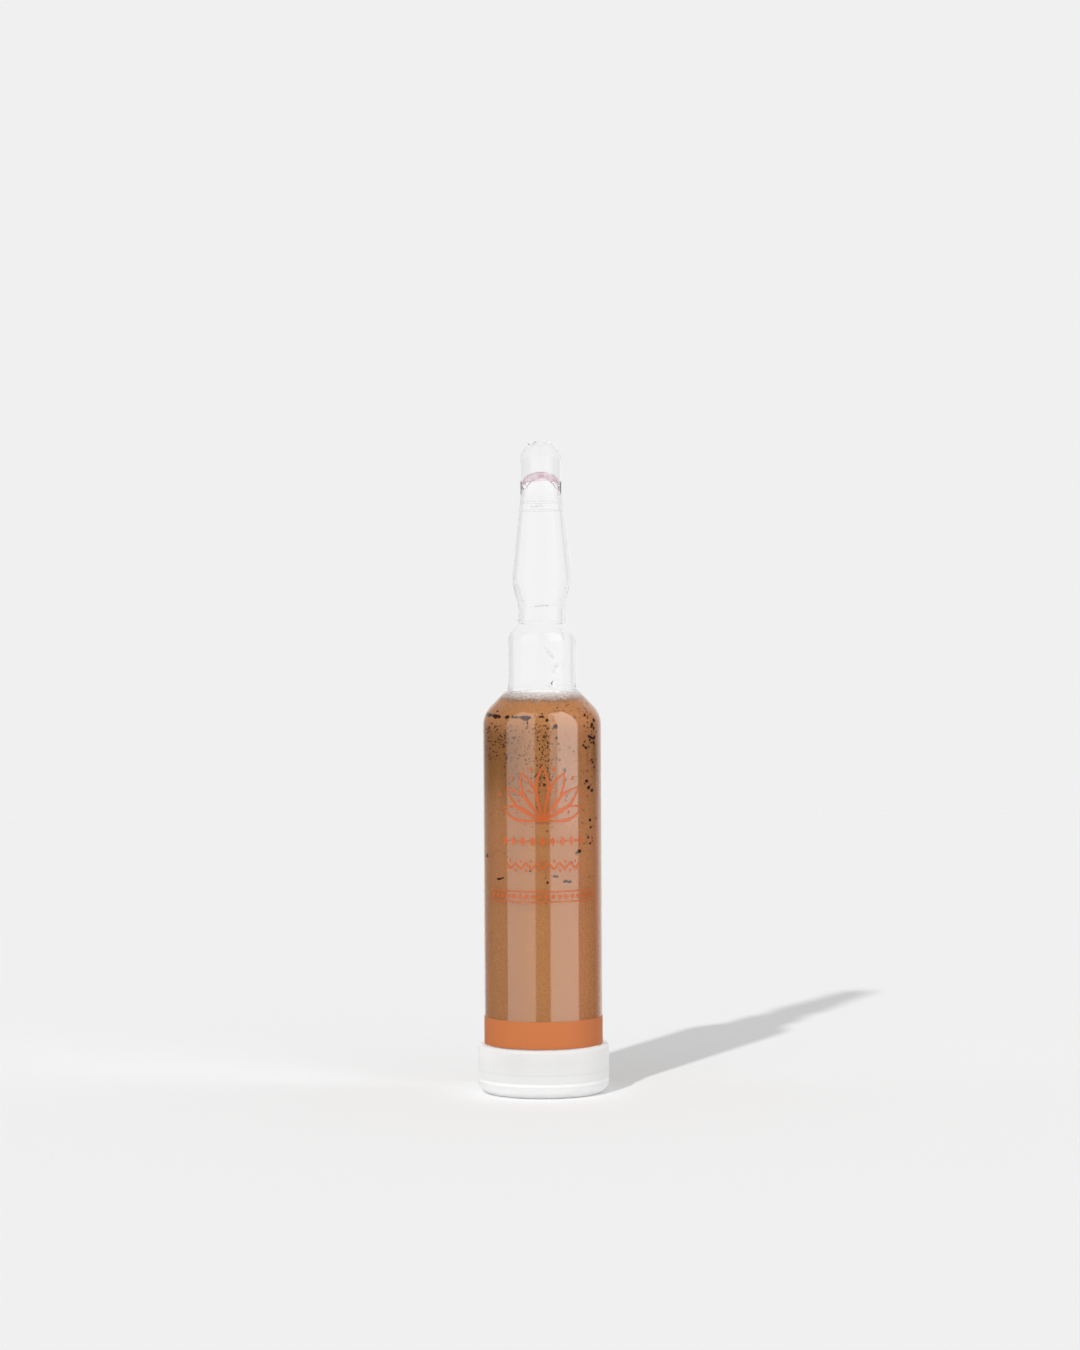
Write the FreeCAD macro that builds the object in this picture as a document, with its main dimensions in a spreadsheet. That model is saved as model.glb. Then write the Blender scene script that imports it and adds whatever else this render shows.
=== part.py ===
import FreeCAD, Part
import math
import os
import Sketcher

# A sealed glass ampoule, standing in a moulded foot cap.
# The glass is one blown tube: straight body, sloped shoulder, collar, scored neck, bulb and drawn tip.
# Its lower end is open and the foot cap closes it: a skirt holds the tube outside, a plug seals its bore.
# Units are millimetres. The origin is the middle of the face that the cap stands on, and +Z is up.

document = FreeCAD.newDocument("GlassAmpoule")

# Driving sizes, one cell each. A wall, a length or a rounding is changed here and nowhere else.
SIZES = [
    # Glass, outside
    ("body_diameter", 17.75),
    ("body_length", 53.5),
    ("shoulder_rise", 3.9),
    ("collar_diameter", 10.14),
    ("collar_length", 8.1),
    ("collar_top_rise", 1.9),
    ("neck_diameter", 7.0),
    ("neck_length", 2.3),
    ("bulb_rise", 3.9),
    ("bulb_diameter", 8.9),
    ("funnel_length", 12.5),
    ("tip_diameter", 6.14),
    ("tip_length", 6.1),
    ("tip_taper_rise", 2.4),
    ("tip_top_diameter", 3.9),
    ("tip_dimple_diameter", 1.4),
    ("tip_dimple_depth", 0.15),
    # Glass, edges outside
    ("tube_end_chamfer", 0.2),
    ("shoulder_round", 4.0),
    ("collar_foot_round", 1.2),
    ("collar_top_round", 2.0),
    ("neck_top_round", 1.5),
    ("bulb_round", 5.0),
    ("tip_foot_round", 10.0),
    ("tip_taper_round", 2.5),
    ("tip_top_round", 0.9),
    # Glass, walls
    ("body_wall", 0.6),
    ("collar_wall", 0.6),
    ("neck_wall", 0.7),
    ("bulb_wall", 0.5),
    ("tip_wall", 0.42),
    ("tip_seal_thickness", 4.7),
    ("tip_dome_rise", 1.4),
    ("tip_dome_diameter", 2.4),
    # Score where the neck is snapped
    ("score_angle", 61.0),
    ("score_width", 0.3),
    ("score_depth", 0.12),
    # Contents
    ("fill_depth", 50.4),
    # Foot cap
    ("seat_height", 3.6),
    ("socket_clearance", 0.05),
    ("skirt_height", 3.8),
    ("skirt_wall", 0.93),
    ("skirt_rim_chamfer", 0.4),
    ("skirt_mouth_chamfer", 0.2),
    ("foot_chamfer", 1.1),
    ("groove_foot", 2.0),
    ("groove_height", 0.4),
    ("groove_depth", 0.24),
    ("plug_clearance", 0.02),
    ("plug_height", 5.4),
    ("plug_wall", 1.6),
    ("plug_roof", 1.2),
    ("plug_land_height", 0.6),
    ("plug_relief", 0.23),
    ("plug_chamfer", 0.3),
    ("core_mouth_chamfer", 0.3),
    # Fired enamel ring
    ("enamel_gap", 0.25),
    ("enamel_height", 3.95),
    ("enamel_thickness", 0.04),
]

sheet = document.addObject("Spreadsheet::Sheet", "Sizes")
for row, (alias, value) in enumerate(SIZES, start=1):
    sheet.set(f"A{row}", alias)
    sheet.set(f"B{row}", str(value))
    sheet.setAlias(f"B{row}", alias)
document.recompute()

# The largest share of a wall that the chamfer on one of its two edges may take.
EDGE_SHARE = 0.45

# Ids that every sketch gives to its own axes and to the two ends of a line or an arc.
VERTICAL_AXIS, HORIZONTAL_AXIS = range(-2, 0)
START, END = range(1, 3)
ORIGIN_POINT = (HORIZONTAL_AXIS, START)


def half(size):
    """Returns the radius of a diameter in the sheet, as an expression."""
    return f"Sizes.{size} / 2"


def edge(size, wall):
    """Returns a chamfer from the sheet, kept within its share of the wall."""
    return f"min(Sizes.{size}; {EDGE_SHARE} * ({wall}))"


def slope(wide, narrow, rise):
    """Returns the angle between the axis and a slope from a wide to a narrow diameter, as an expression."""
    return f"atan(({half(wide)} - {half(narrow)}) / Sizes.{rise})"


def wall_drop(wall, angle):
    """Returns how far below a slope's outer corner the inner one lies, so that the wall stays even."""
    return f"Sizes.{wall} * tan({angle} / 2)"


def facet_reach(rounding, angle):
    """Returns how far from its corner a flat facet starts that touches the middle of a rounding."""
    return f"({rounding}) * (tan({angle} / 2) - tan({angle} / 4))"


# Heights along the glass, each from the one below it
SEAT = "Sizes.seat_height"
SHOULDER = f"{SEAT} + Sizes.body_length"
COLLAR_FOOT = f"{SHOULDER} + Sizes.shoulder_rise"
COLLAR_TOP = f"{COLLAR_FOOT} + Sizes.collar_length"
NECK_FOOT = f"{COLLAR_TOP} + Sizes.collar_top_rise"
NECK_TOP = f"{NECK_FOOT} + Sizes.neck_length"
BULB = f"{NECK_TOP} + Sizes.bulb_rise"
TIP_FOOT = f"{BULB} + Sizes.funnel_length"
TIP_TAPER = f"{TIP_FOOT} + Sizes.tip_length"
TIP_TOP = f"{TIP_TAPER} + Sizes.tip_taper_rise"
DOME_TOP = f"{TIP_TOP} - Sizes.tip_seal_thickness"
DOME_FOOT = f"{DOME_TOP} - Sizes.tip_dome_rise"

# Heights in the foot cap
PLUG_TOP = f"{SEAT} + Sizes.plug_height"
SKIRT_RIM = f"{SEAT} + Sizes.skirt_height"
ENAMEL_FOOT = f"{SKIRT_RIM} + Sizes.enamel_gap"

# Bores of the glass
BODY_BORE = f"{half('body_diameter')} - Sizes.body_wall"
COLLAR_BORE = f"{half('collar_diameter')} - Sizes.collar_wall"
NECK_BORE = f"{half('neck_diameter')} - Sizes.neck_wall"
BULB_BORE = f"{half('bulb_diameter')} - Sizes.bulb_wall"
TIP_BORE = f"{half('tip_diameter')} - Sizes.tip_wall"


def new_body(label):
    """Adds an empty body under the name that its file gets."""
    body = document.addObject("PartDesign::Body", label)
    body.Label = label
    return body


def new_sketch(body, name, plane_role):
    """Adds a sketch on one of the body's own origin planes."""
    sketch = body.newObject("Sketcher::SketchObject", name)
    plane = next(item for item in body.Origin.OriginFeatures if item.Role == plane_role)
    sketch.AttachmentSupport = [(plane, "")]
    sketch.MapMode = "FlatFace"
    return sketch


def bound_constraint(sketch, kind, *arguments):
    """Adds a constraint whose value follows an expression, which is the last argument."""
    *targets, expression = arguments
    value = float(sketch.evalExpression(expression))
    index = sketch.addConstraint(Sketcher.Constraint(kind, *targets, value))
    sketch.setExpression(f"Constraints[{index}]", expression)


def add_corner_point(sketch, corner, position):
    """Adds a corner as a construction point, held at its radius and height."""
    radius, height = corner[:2]
    point = sketch.addGeometry(Part.Point(position), True)
    if radius == "0":
        sketch.addConstraint(Sketcher.Constraint("PointOnObject", point, START, VERTICAL_AXIS))
    else:
        bound_constraint(sketch, "DistanceX", *ORIGIN_POINT, point, START, radius)
    if height == "0":
        sketch.addConstraint(Sketcher.Constraint("PointOnObject", point, START, HORIZONTAL_AXIS))
    else:
        bound_constraint(sketch, "DistanceY", *ORIGIN_POINT, point, START, height)
    return point


def rounding_arc(before, corner, after, radius):
    """Returns a corner's arc, and the ends of it that meet the line before and the line after."""
    back = (before - corner).normalize()
    ahead = (after - corner).normalize()
    half_angle = back.getAngle(ahead) / 2
    reach = radius / math.tan(half_angle)
    entry = corner + back * reach
    leave = corner + ahead * reach
    centre = corner + (back + ahead).normalize() * (radius / math.sin(half_angle))
    circle = Part.Circle(centre, FreeCAD.Vector(0, 0, 1), radius)
    turns_left = ahead.cross(back).z > 0
    first, last = (entry, leave) if turns_left else (leave, entry)
    start_angle = math.atan2(first.y - centre.y, first.x - centre.x)
    end_angle = math.atan2(last.y - centre.y, last.x - centre.x)
    arc = Part.ArcOfCircle(circle, start_angle, end_angle)
    return arc, entry, leave, (START, END) if turns_left else (END, START)


def draw_outline(sketch, corners):
    """Draws a closed outline of straight lines and tangent roundings.

    A corner is (radius, height) or (radius, height, rounding), each an expression or "0".
    The corner's point stays in the sketch, and the lines beside a rounding run through it.
    """
    count = len(corners)
    places = []
    for radius, height, *_ in corners:
        places.append(FreeCAD.Vector(sketch.evalExpression(radius), sketch.evalExpression(height), 0))

    # Where each line starts and ends, once the roundings have taken their share
    entries = list(places)
    leaves = list(places)
    arcs = {}
    for index, corner in enumerate(corners):
        if len(corner) == 3:
            rounding = float(sketch.evalExpression(corner[2]))
            before = places[index - 1]
            after = places[(index + 1) % count]
            arc, entries[index], leaves[index], ends = rounding_arc(before, places[index], after, rounding)
            arcs[index] = (sketch.addGeometry(arc), ends)

    lines = []
    for index in range(count):
        line = Part.LineSegment(leaves[index], entries[(index + 1) % count])
        lines.append(sketch.addGeometry(line))

    for index, corner in enumerate(corners):
        point = add_corner_point(sketch, corner, places[index])
        line_in = lines[index - 1]
        line_out = lines[index]
        if index not in arcs:
            sketch.addConstraint(Sketcher.Constraint("Coincident", line_in, END, point, START))
            sketch.addConstraint(Sketcher.Constraint("Coincident", line_out, START, point, START))
            continue
        arc, (arc_in, arc_out) = arcs[index]
        sketch.addConstraint(Sketcher.Constraint("PointOnObject", point, START, line_in))
        sketch.addConstraint(Sketcher.Constraint("PointOnObject", point, START, line_out))
        sketch.addConstraint(Sketcher.Constraint("Tangent", line_in, END, arc, arc_in))
        sketch.addConstraint(Sketcher.Constraint("Tangent", line_out, START, arc, arc_out))
        bound_constraint(sketch, "Radius", arc, corner[2])


def turn_solid(body, name, corners):
    """Turns an outline round the vertical axis into a solid of the body."""
    sketch = new_sketch(body, f"{name}_outline", "XZ_Plane")
    draw_outline(sketch, corners)
    solid = body.newObject("PartDesign::Revolution", name)
    solid.Profile = sketch
    solid.ReferenceAxis = (sketch, ["V_Axis"])
    solid.Angle = 360
    return solid


# Glass ampoule: its outside is turned, the score is cut, and the cavity is taken out of it


def outside_corners():
    """Returns the outline of the glass outside, from the open end up to the drawn tip."""
    dimple_floor = f"{TIP_TOP} - Sizes.tip_dimple_depth"
    end_chamfer = edge("tube_end_chamfer", "Sizes.body_wall")
    return [
        ("0", SEAT),
        (f"{half('body_diameter')} - {end_chamfer}", SEAT),
        (half("body_diameter"), f"{SEAT} + {end_chamfer}"),
        (half("body_diameter"), SHOULDER, "Sizes.shoulder_round"),
        (half("collar_diameter"), COLLAR_FOOT, "Sizes.collar_foot_round"),
        (half("collar_diameter"), COLLAR_TOP, "Sizes.collar_top_round"),
        (half("neck_diameter"), NECK_FOOT),
        (half("neck_diameter"), NECK_TOP, "Sizes.neck_top_round"),
        (half("bulb_diameter"), BULB, "Sizes.bulb_round"),
        (half("tip_diameter"), TIP_FOOT, "Sizes.tip_foot_round"),
        (half("tip_diameter"), TIP_TAPER, "Sizes.tip_taper_round"),
        (half("tip_top_diameter"), TIP_TOP, "Sizes.tip_top_round"),
        (half("tip_dimple_diameter"), dimple_floor),
        ("0", dimple_floor),
    ]


def cavity_corners():
    """Returns the outline of the space in the glass, each wall inside the outline above."""
    shoulder_slope = slope("body_diameter", "collar_diameter", "shoulder_rise")
    shoulder_drop = wall_drop("body_wall", shoulder_slope)
    collar_slope = slope("collar_diameter", "neck_diameter", "collar_top_rise")
    collar_drop = wall_drop("collar_wall", collar_slope)
    facet = facet_reach("Sizes.shoulder_round - Sizes.body_wall", shoulder_slope)
    facet_top = f"{SHOULDER} - {shoulder_drop} + {facet} * cos({shoulder_slope})"
    return [
        ("0", SEAT),
        (BODY_BORE, SEAT),
        (BODY_BORE, f"{SHOULDER} - {shoulder_drop} - {facet}"),
        (f"{BODY_BORE} - {facet} * sin({shoulder_slope})", facet_top),
        (COLLAR_BORE, f"{COLLAR_FOOT} - {shoulder_drop}"),
        (COLLAR_BORE, f"{COLLAR_TOP} - {collar_drop}"),
        (NECK_BORE, f"{NECK_FOOT} - {collar_drop}"),
        (NECK_BORE, NECK_TOP),
        (BULB_BORE, BULB, "Sizes.bulb_round - Sizes.bulb_wall"),
        (TIP_BORE, TIP_FOOT),
        (TIP_BORE, DOME_FOOT),
        (half("tip_dome_diameter"), DOME_TOP),
        ("0", DOME_TOP),
    ]


def cut_score(body):
    """Cuts the short V-shaped score into the front of the neck, where the tip snaps off."""
    sketch = new_sketch(body, "score_outline", "YZ_Plane")
    bottom = f"-({half('neck_diameter')} - Sizes.score_depth)"
    mouth = f"-({half('neck_diameter')} + Sizes.score_depth)"
    draw_outline(sketch, [
        (bottom, NECK_TOP),
        (mouth, f"{NECK_TOP} + Sizes.score_width"),
        (mouth, f"{NECK_TOP} - Sizes.score_width"),
    ])
    score = body.newObject("PartDesign::Groove", "score")
    score.Profile = sketch
    score.ReferenceAxis = (sketch, ["V_Axis"])
    score.Midplane = True
    score.setExpression("Angle", "Sizes.score_angle")
    return score


def make_cavity():
    """Makes the space in the glass as a solid, which the glass and its contents share."""
    cavity = new_body("cavity_form")
    turn_solid(cavity, "cavity_space", cavity_corners())
    return cavity


def make_glass(cavity):
    """Makes the ampoule: the scored outside less the cavity."""
    outside = new_body("outside_form")
    turn_solid(outside, "outside_glass", outside_corners())
    document.recompute()
    whole_volume = outside.Shape.Volume
    cut_score(outside)
    document.recompute()
    if outside.Shape.Volume >= whole_volume:
        raise RuntimeError("the score takes nothing off the neck")
    glass = document.addObject("Part::Cut", "glass_ampoule")
    glass.Base = outside
    glass.Tool = cavity
    return glass


# Contents: they fill the cavity from the plug up to a level in the shoulder


def make_contents(cavity):
    """Makes the fill: the part of the cavity between the plug and the fill level."""
    column = document.addObject("Part::Cylinder", "fill_column")
    column.setExpression("Radius", half("body_diameter"))
    column.setExpression("Height", "Sizes.fill_depth")
    column.setExpression(".Placement.Base.z", PLUG_TOP)
    contents = document.addObject("Part::Common", "contents")
    contents.Base = cavity
    contents.Tool = column
    return contents


# Foot cap: one moulding with a skirt outside the tube, a plug in its bore and a core from below


def cap_corners():
    """Returns the outline of the cap, from the core's roof down, round the foot and up to the plug."""
    socket = f"{half('body_diameter')} + Sizes.socket_clearance"
    skirt = f"{socket} + Sizes.skirt_wall"
    land = f"{BODY_BORE} - Sizes.plug_clearance"
    relief = f"{land} - Sizes.plug_relief"
    core = f"{relief} - Sizes.plug_wall"
    core_roof = f"{PLUG_TOP} - Sizes.plug_roof"
    groove_top = "Sizes.groove_foot + Sizes.groove_height"
    land_foot = f"{PLUG_TOP} - Sizes.plug_chamfer - Sizes.plug_land_height"
    foot_chamfer = edge("foot_chamfer", f"{skirt} - ({core})")
    rim_chamfer = edge("skirt_rim_chamfer", "Sizes.skirt_wall")
    mouth_chamfer = edge("skirt_mouth_chamfer", "Sizes.skirt_wall")
    return [
        ("0", core_roof),
        (core, core_roof),
        (core, "Sizes.core_mouth_chamfer"),
        (f"{core} + Sizes.core_mouth_chamfer", "0"),
        (f"{skirt} - {foot_chamfer}", "0"),
        (skirt, foot_chamfer),
        (skirt, "Sizes.groove_foot"),
        (f"{skirt} - Sizes.groove_depth", "Sizes.groove_foot + Sizes.groove_height / 2"),
        (skirt, groove_top),
        (skirt, f"{SKIRT_RIM} - {rim_chamfer}"),
        (f"{skirt} - {rim_chamfer}", SKIRT_RIM),
        (f"{socket} + {mouth_chamfer}", SKIRT_RIM),
        (socket, f"{SKIRT_RIM} - {mouth_chamfer}"),
        (socket, SEAT),
        (relief, SEAT),
        (relief, f"{land_foot} - Sizes.plug_relief"),
        (land, land_foot),
        (land, f"{PLUG_TOP} - Sizes.plug_chamfer"),
        (f"{land} - Sizes.plug_chamfer", PLUG_TOP),
        ("0", PLUG_TOP),
    ]


def make_cap():
    """Makes the foot cap."""
    cap = new_body("base_cap")
    turn_solid(cap, "cap_moulding", cap_corners())
    return cap


# Enamel ring: a thin fired layer round the body, just above the cap's rim


def make_enamel():
    """Makes the enamel ring on the outside of the glass."""
    inside = half("body_diameter")
    outside = f"{inside} + Sizes.enamel_thickness"
    top = f"{ENAMEL_FOOT} + Sizes.enamel_height"
    enamel = new_body("enamel_band")
    turn_solid(enamel, "enamel_ring", [
        (inside, ENAMEL_FOOT),
        (outside, ENAMEL_FOOT),
        (outside, top),
        (inside, top),
    ])
    return enamel


cavity = make_cavity()
parts = [make_glass(cavity), make_cap(), make_contents(cavity), make_enamel()]
document.recompute()

# Every object and every piece is tested before anything is written.
for item in document.Objects:
    if "Invalid" in item.State or "Error" in item.State:
        raise RuntimeError(f"{item.Label} failed: {item.State}")
for part in parts:
    if part.Shape.isNull() or not part.Shape.isValid():
        raise RuntimeError(f"{part.Label} has no valid shape")
    if len(part.Shape.Solids) != 1:
        raise RuntimeError(f"{part.Label} is not one solid")

os.makedirs("parts", exist_ok=True)
for part in parts:
    part.Shape.exportStep(f"parts/{part.Label}.step")
    box = part.Shape.optimalBoundingBox()
    print(f"{part.Label}: {part.Shape.Volume:.1f} mm3, z {box.ZMin:.2f} to {box.ZMax:.2f}, "
          f"diameter {box.XLength:.2f}")
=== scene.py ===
# %% [markdown]
# A sealed glass ampoule stands in its foot cap. The glass is one blown tube with a sloped shoulder,
# a collar, a scored neck and a drawn tip, and it holds a thick brown suspension.
# The imported solids give the sizes and places. This lesson adds what they leave out: smooth clear glass,
# ink, plastic that light goes into, dark specks, drops and a dried film.
# Most cells print what they made, so the lesson can be followed from top to bottom.

# %% Load the frame
import math
import random

import bmesh
import bpy
from mathutils import Euler, Matrix, Vector, noise


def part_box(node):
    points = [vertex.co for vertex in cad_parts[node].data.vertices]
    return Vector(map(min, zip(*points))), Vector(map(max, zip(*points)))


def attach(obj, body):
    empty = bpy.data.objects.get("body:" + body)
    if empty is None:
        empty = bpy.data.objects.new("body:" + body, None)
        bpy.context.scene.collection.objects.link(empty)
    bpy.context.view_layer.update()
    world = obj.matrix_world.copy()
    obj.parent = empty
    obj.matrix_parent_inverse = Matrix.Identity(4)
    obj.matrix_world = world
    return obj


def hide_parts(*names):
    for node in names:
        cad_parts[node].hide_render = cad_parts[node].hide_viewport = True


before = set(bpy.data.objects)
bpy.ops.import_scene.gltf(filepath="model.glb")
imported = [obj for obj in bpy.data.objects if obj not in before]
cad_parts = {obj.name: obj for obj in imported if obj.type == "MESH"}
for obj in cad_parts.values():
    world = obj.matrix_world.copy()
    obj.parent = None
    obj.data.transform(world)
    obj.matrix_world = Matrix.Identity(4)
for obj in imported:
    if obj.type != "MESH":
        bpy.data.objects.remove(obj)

scene = bpy.context.scene
scene.view_settings.view_transform = "Standard"
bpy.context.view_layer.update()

# %% [markdown]
# The camera looks from a little above, straight at the front, through a long lens, so the tube's sides
# stay almost parallel. It could be aimed with a constraint, but a pitch and a roll written as angles
# say more plainly how the picture was taken. The small roll is the lean that the picture has.

# %% Camera
MM = 0.001
CAMERA_PLACE = Vector((-0.27, -900.0, 126.5)) * MM
CAMERA_PITCH = math.radians(4.04)
CAMERA_ROLL = math.radians(0.29)
LENS_MM = 160.3

camera_data = bpy.data.cameras.new("camera")
camera_data.lens = LENS_MM
camera = bpy.data.objects.new("camera", camera_data)
scene.collection.objects.link(camera)
aim = Matrix.Rotation(math.radians(90) - CAMERA_PITCH, 4, "X") @ Matrix.Rotation(-CAMERA_ROLL, 4, "Z")
camera.matrix_world = Matrix.Translation(CAMERA_PLACE) @ aim
scene.camera = camera
print("camera at", tuple(camera.location), "lens", camera_data.lens)

# %% [markdown]
# Node trees are easier to read when each line makes one step. These helpers add a node, feed it with
# numbers or with other nodes' outputs, and hand back its output. The same few serve the world,
# the shared groups and the materials.


# %% Helpers for node trees
def feed(tree, value, socket):
    """Links an output to a socket, or sets the socket to a plain value."""
    if isinstance(value, bpy.types.NodeSocket):
        tree.links.new(value, socket)
    else:
        socket.default_value = value


def math_node(tree, operation, *values):
    """Adds a Math node and returns its output."""
    node = tree.nodes.new("ShaderNodeMath")
    node.operation = operation
    for value, socket in zip(values, node.inputs):
        feed(tree, value, socket)
    return node.outputs[0]


def times(tree, *values):
    """Returns the product of masks and numbers."""
    product = values[0]
    for value in values[1:]:
        product = math_node(tree, "MULTIPLY", product, value)
    return product


def ramp(tree, value, low, high, start=0.0, end=1.0):
    """Returns start below low and end above high, with a smooth step between."""
    node = tree.nodes.new("ShaderNodeMapRange")
    node.interpolation_type = "SMOOTHSTEP"
    for entry, socket in zip((value, low, high, start, end), node.inputs):
        feed(tree, entry, socket)
    return node.outputs[0]


def window(tree, value, low, high, soft):
    """Returns 1 between low and high and 0 outside, with soft edges."""
    opens = ramp(tree, value, low, low + soft)
    closes = ramp(tree, value, high - soft, high, 1.0, 0.0)
    return times(tree, opens, closes)


def mix_numbers(tree, factor, first, second):
    """Returns first where the factor is 0 and second where it is 1."""
    node = tree.nodes.new("ShaderNodeMix")
    for value, socket in zip((factor, first, second), (node.inputs[0], node.inputs[2], node.inputs[3])):
        feed(tree, value, socket)
    return node.outputs[0]


def mix_colours(tree, factor, first, second, blend="MIX"):
    """Returns first where the factor is 0 and the blend of both where it is 1."""
    node = tree.nodes.new("ShaderNodeMix")
    node.data_type = "RGBA"
    node.blend_type = blend
    for value, socket in zip((factor, first, second), (node.inputs[0], node.inputs[6], node.inputs[7])):
        feed(tree, value, socket)
    return node.outputs[2]


def shown(red, green, blue):
    """Returns as light the colour that a screen shows as these three bytes, by the sRGB curve."""
    light = []
    for byte in (red, green, blue):
        level = byte / 255
        light.append(level / 12.92 if level <= 0.04045 else ((level + 0.055) / 1.055) ** 2.4)
    return (*light, 1.0)


BACKDROP_LIGHT = shown(240, 240, 240)[0]
print("backdrop light", round(BACKDROP_LIGHT, 4))

# %% [markdown]
# The object stands on a pale sheet in front of a pale wall, under plain soft light. Two tall softboxes
# stand before it, left and right, and the glass shows them as two pale bands. They could be lamps,
# but a world that holds them as two bright fields, seen by reflections alone, gives clean bands from
# every side and adds no light to the colours.

# %% Directions in the world
world = bpy.data.worlds.new("studio")
world.use_nodes = True
scene.world = world
tree = world.node_tree
background = tree.nodes["Background"]
direction = tree.nodes.new("ShaderNodeSeparateXYZ")
tree.links.new(tree.nodes.new("ShaderNodeTexCoord").outputs["Generated"], direction.inputs[0])
upness = direction.outputs["Z"]
azimuth = math_node(tree, "ARCTAN2", direction.outputs["X"], times(tree, direction.outputs["Y"], -1.0))
off_axis = math_node(tree, "ABSOLUTE", azimuth)
on_the_right = math_node(tree, "GREATER_THAN", azimuth, 0.0)
print("the world is measured from the camera's side: 0 in front of the object, half a turn behind it")

# %% What the glass mirrors
SOFTBOX_INNER_EDGE = math.radians(12.0)
SOFTBOX_OUTER_EDGE = math.radians(76.0)
SOFTBOX_SOFTNESS = math.radians(5.0)
SOFTBOX_SPLIT = math.radians(30.0)
SPLIT_SOFTNESS = math.radians(1.7)
SOFTBOX_TOP_FROM, SOFTBOX_TOP_TO = 0.86, 0.92
INNER_PANEL_FOOT_FROM, INNER_PANEL_FOOT_TO = -0.098, -0.092
SOFTBOX_LEFT_LIGHT = 2.4
SOFTBOX_RIGHT_LIGHT = 3.2
SOFTBOX_RIGHT_INNER_LIGHT = 2.1
SOFTBOX_RIGHT_OUTER_LIGHT = 4.6
DARK_ROOM_LIGHT = 0.06
BACK_WALL_EDGE = math.radians(118.0)
BACK_WALL_FULL = math.radians(150.0)
BACK_WALL_LEFT_LIGHT = 0.45
BACK_WALL_LIGHT = 1.0
GRAZING_EDGE = math.radians(152.0)
GRAZING_SOFTNESS = math.radians(5.7)

before_it = window(tree, off_axis, SOFTBOX_INNER_EDGE, SOFTBOX_OUTER_EDGE, SOFTBOX_SOFTNESS)
under_top_edge = ramp(tree, upness, SOFTBOX_TOP_FROM, SOFTBOX_TOP_TO, 1.0, 0.0)
softbox = times(tree, before_it, under_top_edge)
outer_panel = ramp(tree, azimuth, SOFTBOX_SPLIT - SPLIT_SOFTNESS, SOFTBOX_SPLIT + SPLIT_SOFTNESS)
split_level = mix_numbers(tree, outer_panel, SOFTBOX_RIGHT_INNER_LIGHT, SOFTBOX_RIGHT_OUTER_LIGHT)
upper_part = ramp(tree, upness, INNER_PANEL_FOOT_FROM, INNER_PANEL_FOOT_TO)
right_level = mix_numbers(tree, upper_part, SOFTBOX_RIGHT_LIGHT, split_level)
softbox_level = mix_numbers(tree, on_the_right, SOFTBOX_LEFT_LIGHT, right_level)
back_wall = ramp(tree, off_axis, BACK_WALL_EDGE, BACK_WALL_FULL)
grazing = ramp(tree, off_axis, GRAZING_EDGE, GRAZING_EDGE + GRAZING_SOFTNESS)
bright_back = math_node(tree, "MAXIMUM", on_the_right, grazing)
back_wall_level = mix_numbers(tree, bright_back, BACK_WALL_LEFT_LIGHT, BACK_WALL_LIGHT)
mirrored = mix_numbers(tree, softbox, DARK_ROOM_LIGHT, softbox_level)
mirrored = mix_numbers(tree, back_wall, mirrored, back_wall_level)
print("softboxes", SOFTBOX_LEFT_LIGHT, "and", SOFTBOX_RIGHT_LIGHT, "in a room of", DARK_ROOM_LIGHT)

# %% [markdown]
# The empty glass is seen by what it bends, not by what it mirrors. Looking through it, the eye meets the
# pale room, brighter upwards and greyer to the sides. The grey sides are what draws the walls as two soft
# bands. They could be grey cards beside the object, but a field in the world casts nothing on the rest.

# %% What is seen through the glass
THROUGH_GLASS_LIGHT = 0.893
THROUGH_GLASS_UPWARD = 0.92
THROUGH_GLASS_ASIDE = 0.825
UPWARD_FROM, UPWARD_TO = 0.1, 0.3
ASIDE_FROM = math.radians(115.0)
ASIDE_TO = math.radians(164.0)
ASIDE_SOFTNESS = math.radians(8.0)
ASIDE_TOP = 0.3
ASIDE_TOP_SOFTNESS = 0.15

upward = ramp(tree, upness, UPWARD_FROM, UPWARD_TO)
aside = window(tree, off_axis, ASIDE_FROM, ASIDE_TO, ASIDE_SOFTNESS)
near_level = window(tree, upness, -ASIDE_TOP, ASIDE_TOP, ASIDE_TOP_SOFTNESS)
grey_side = times(tree, aside, near_level)
through = mix_numbers(tree, upward, THROUGH_GLASS_LIGHT, THROUGH_GLASS_UPWARD)
through = mix_numbers(tree, grey_side, through, THROUGH_GLASS_ASIDE)
print("seen through glass:", THROUGH_GLASS_LIGHT, "and aside", THROUGH_GLASS_ASIDE)

# %% One level for each kind of ray
AMBIENT_LIGHT = 0.59

ray = tree.nodes.new("ShaderNodeLightPath")
level = mix_numbers(tree, ray.outputs["Is Glossy Ray"], AMBIENT_LIGHT, mirrored)
level = mix_numbers(tree, ray.outputs["Is Transmission Ray"], level, through)
level = mix_numbers(tree, ray.outputs["Is Camera Ray"], level, BACKDROP_LIGHT)
feed(tree, level, background.inputs["Strength"])
background.inputs["Color"].default_value = (1.0, 1.0, 1.0, 1.0)
print("ambient light", AMBIENT_LIGHT)

# %% [markdown]
# A sun from the front left, wider than the real one, draws the soft-edged shadow. Two weak fills from the
# sides, without shadows, keep the round sides from going dull. The sun takes what light is left after
# them and the room, so a lit sheet shows its colour as it is written.

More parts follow.
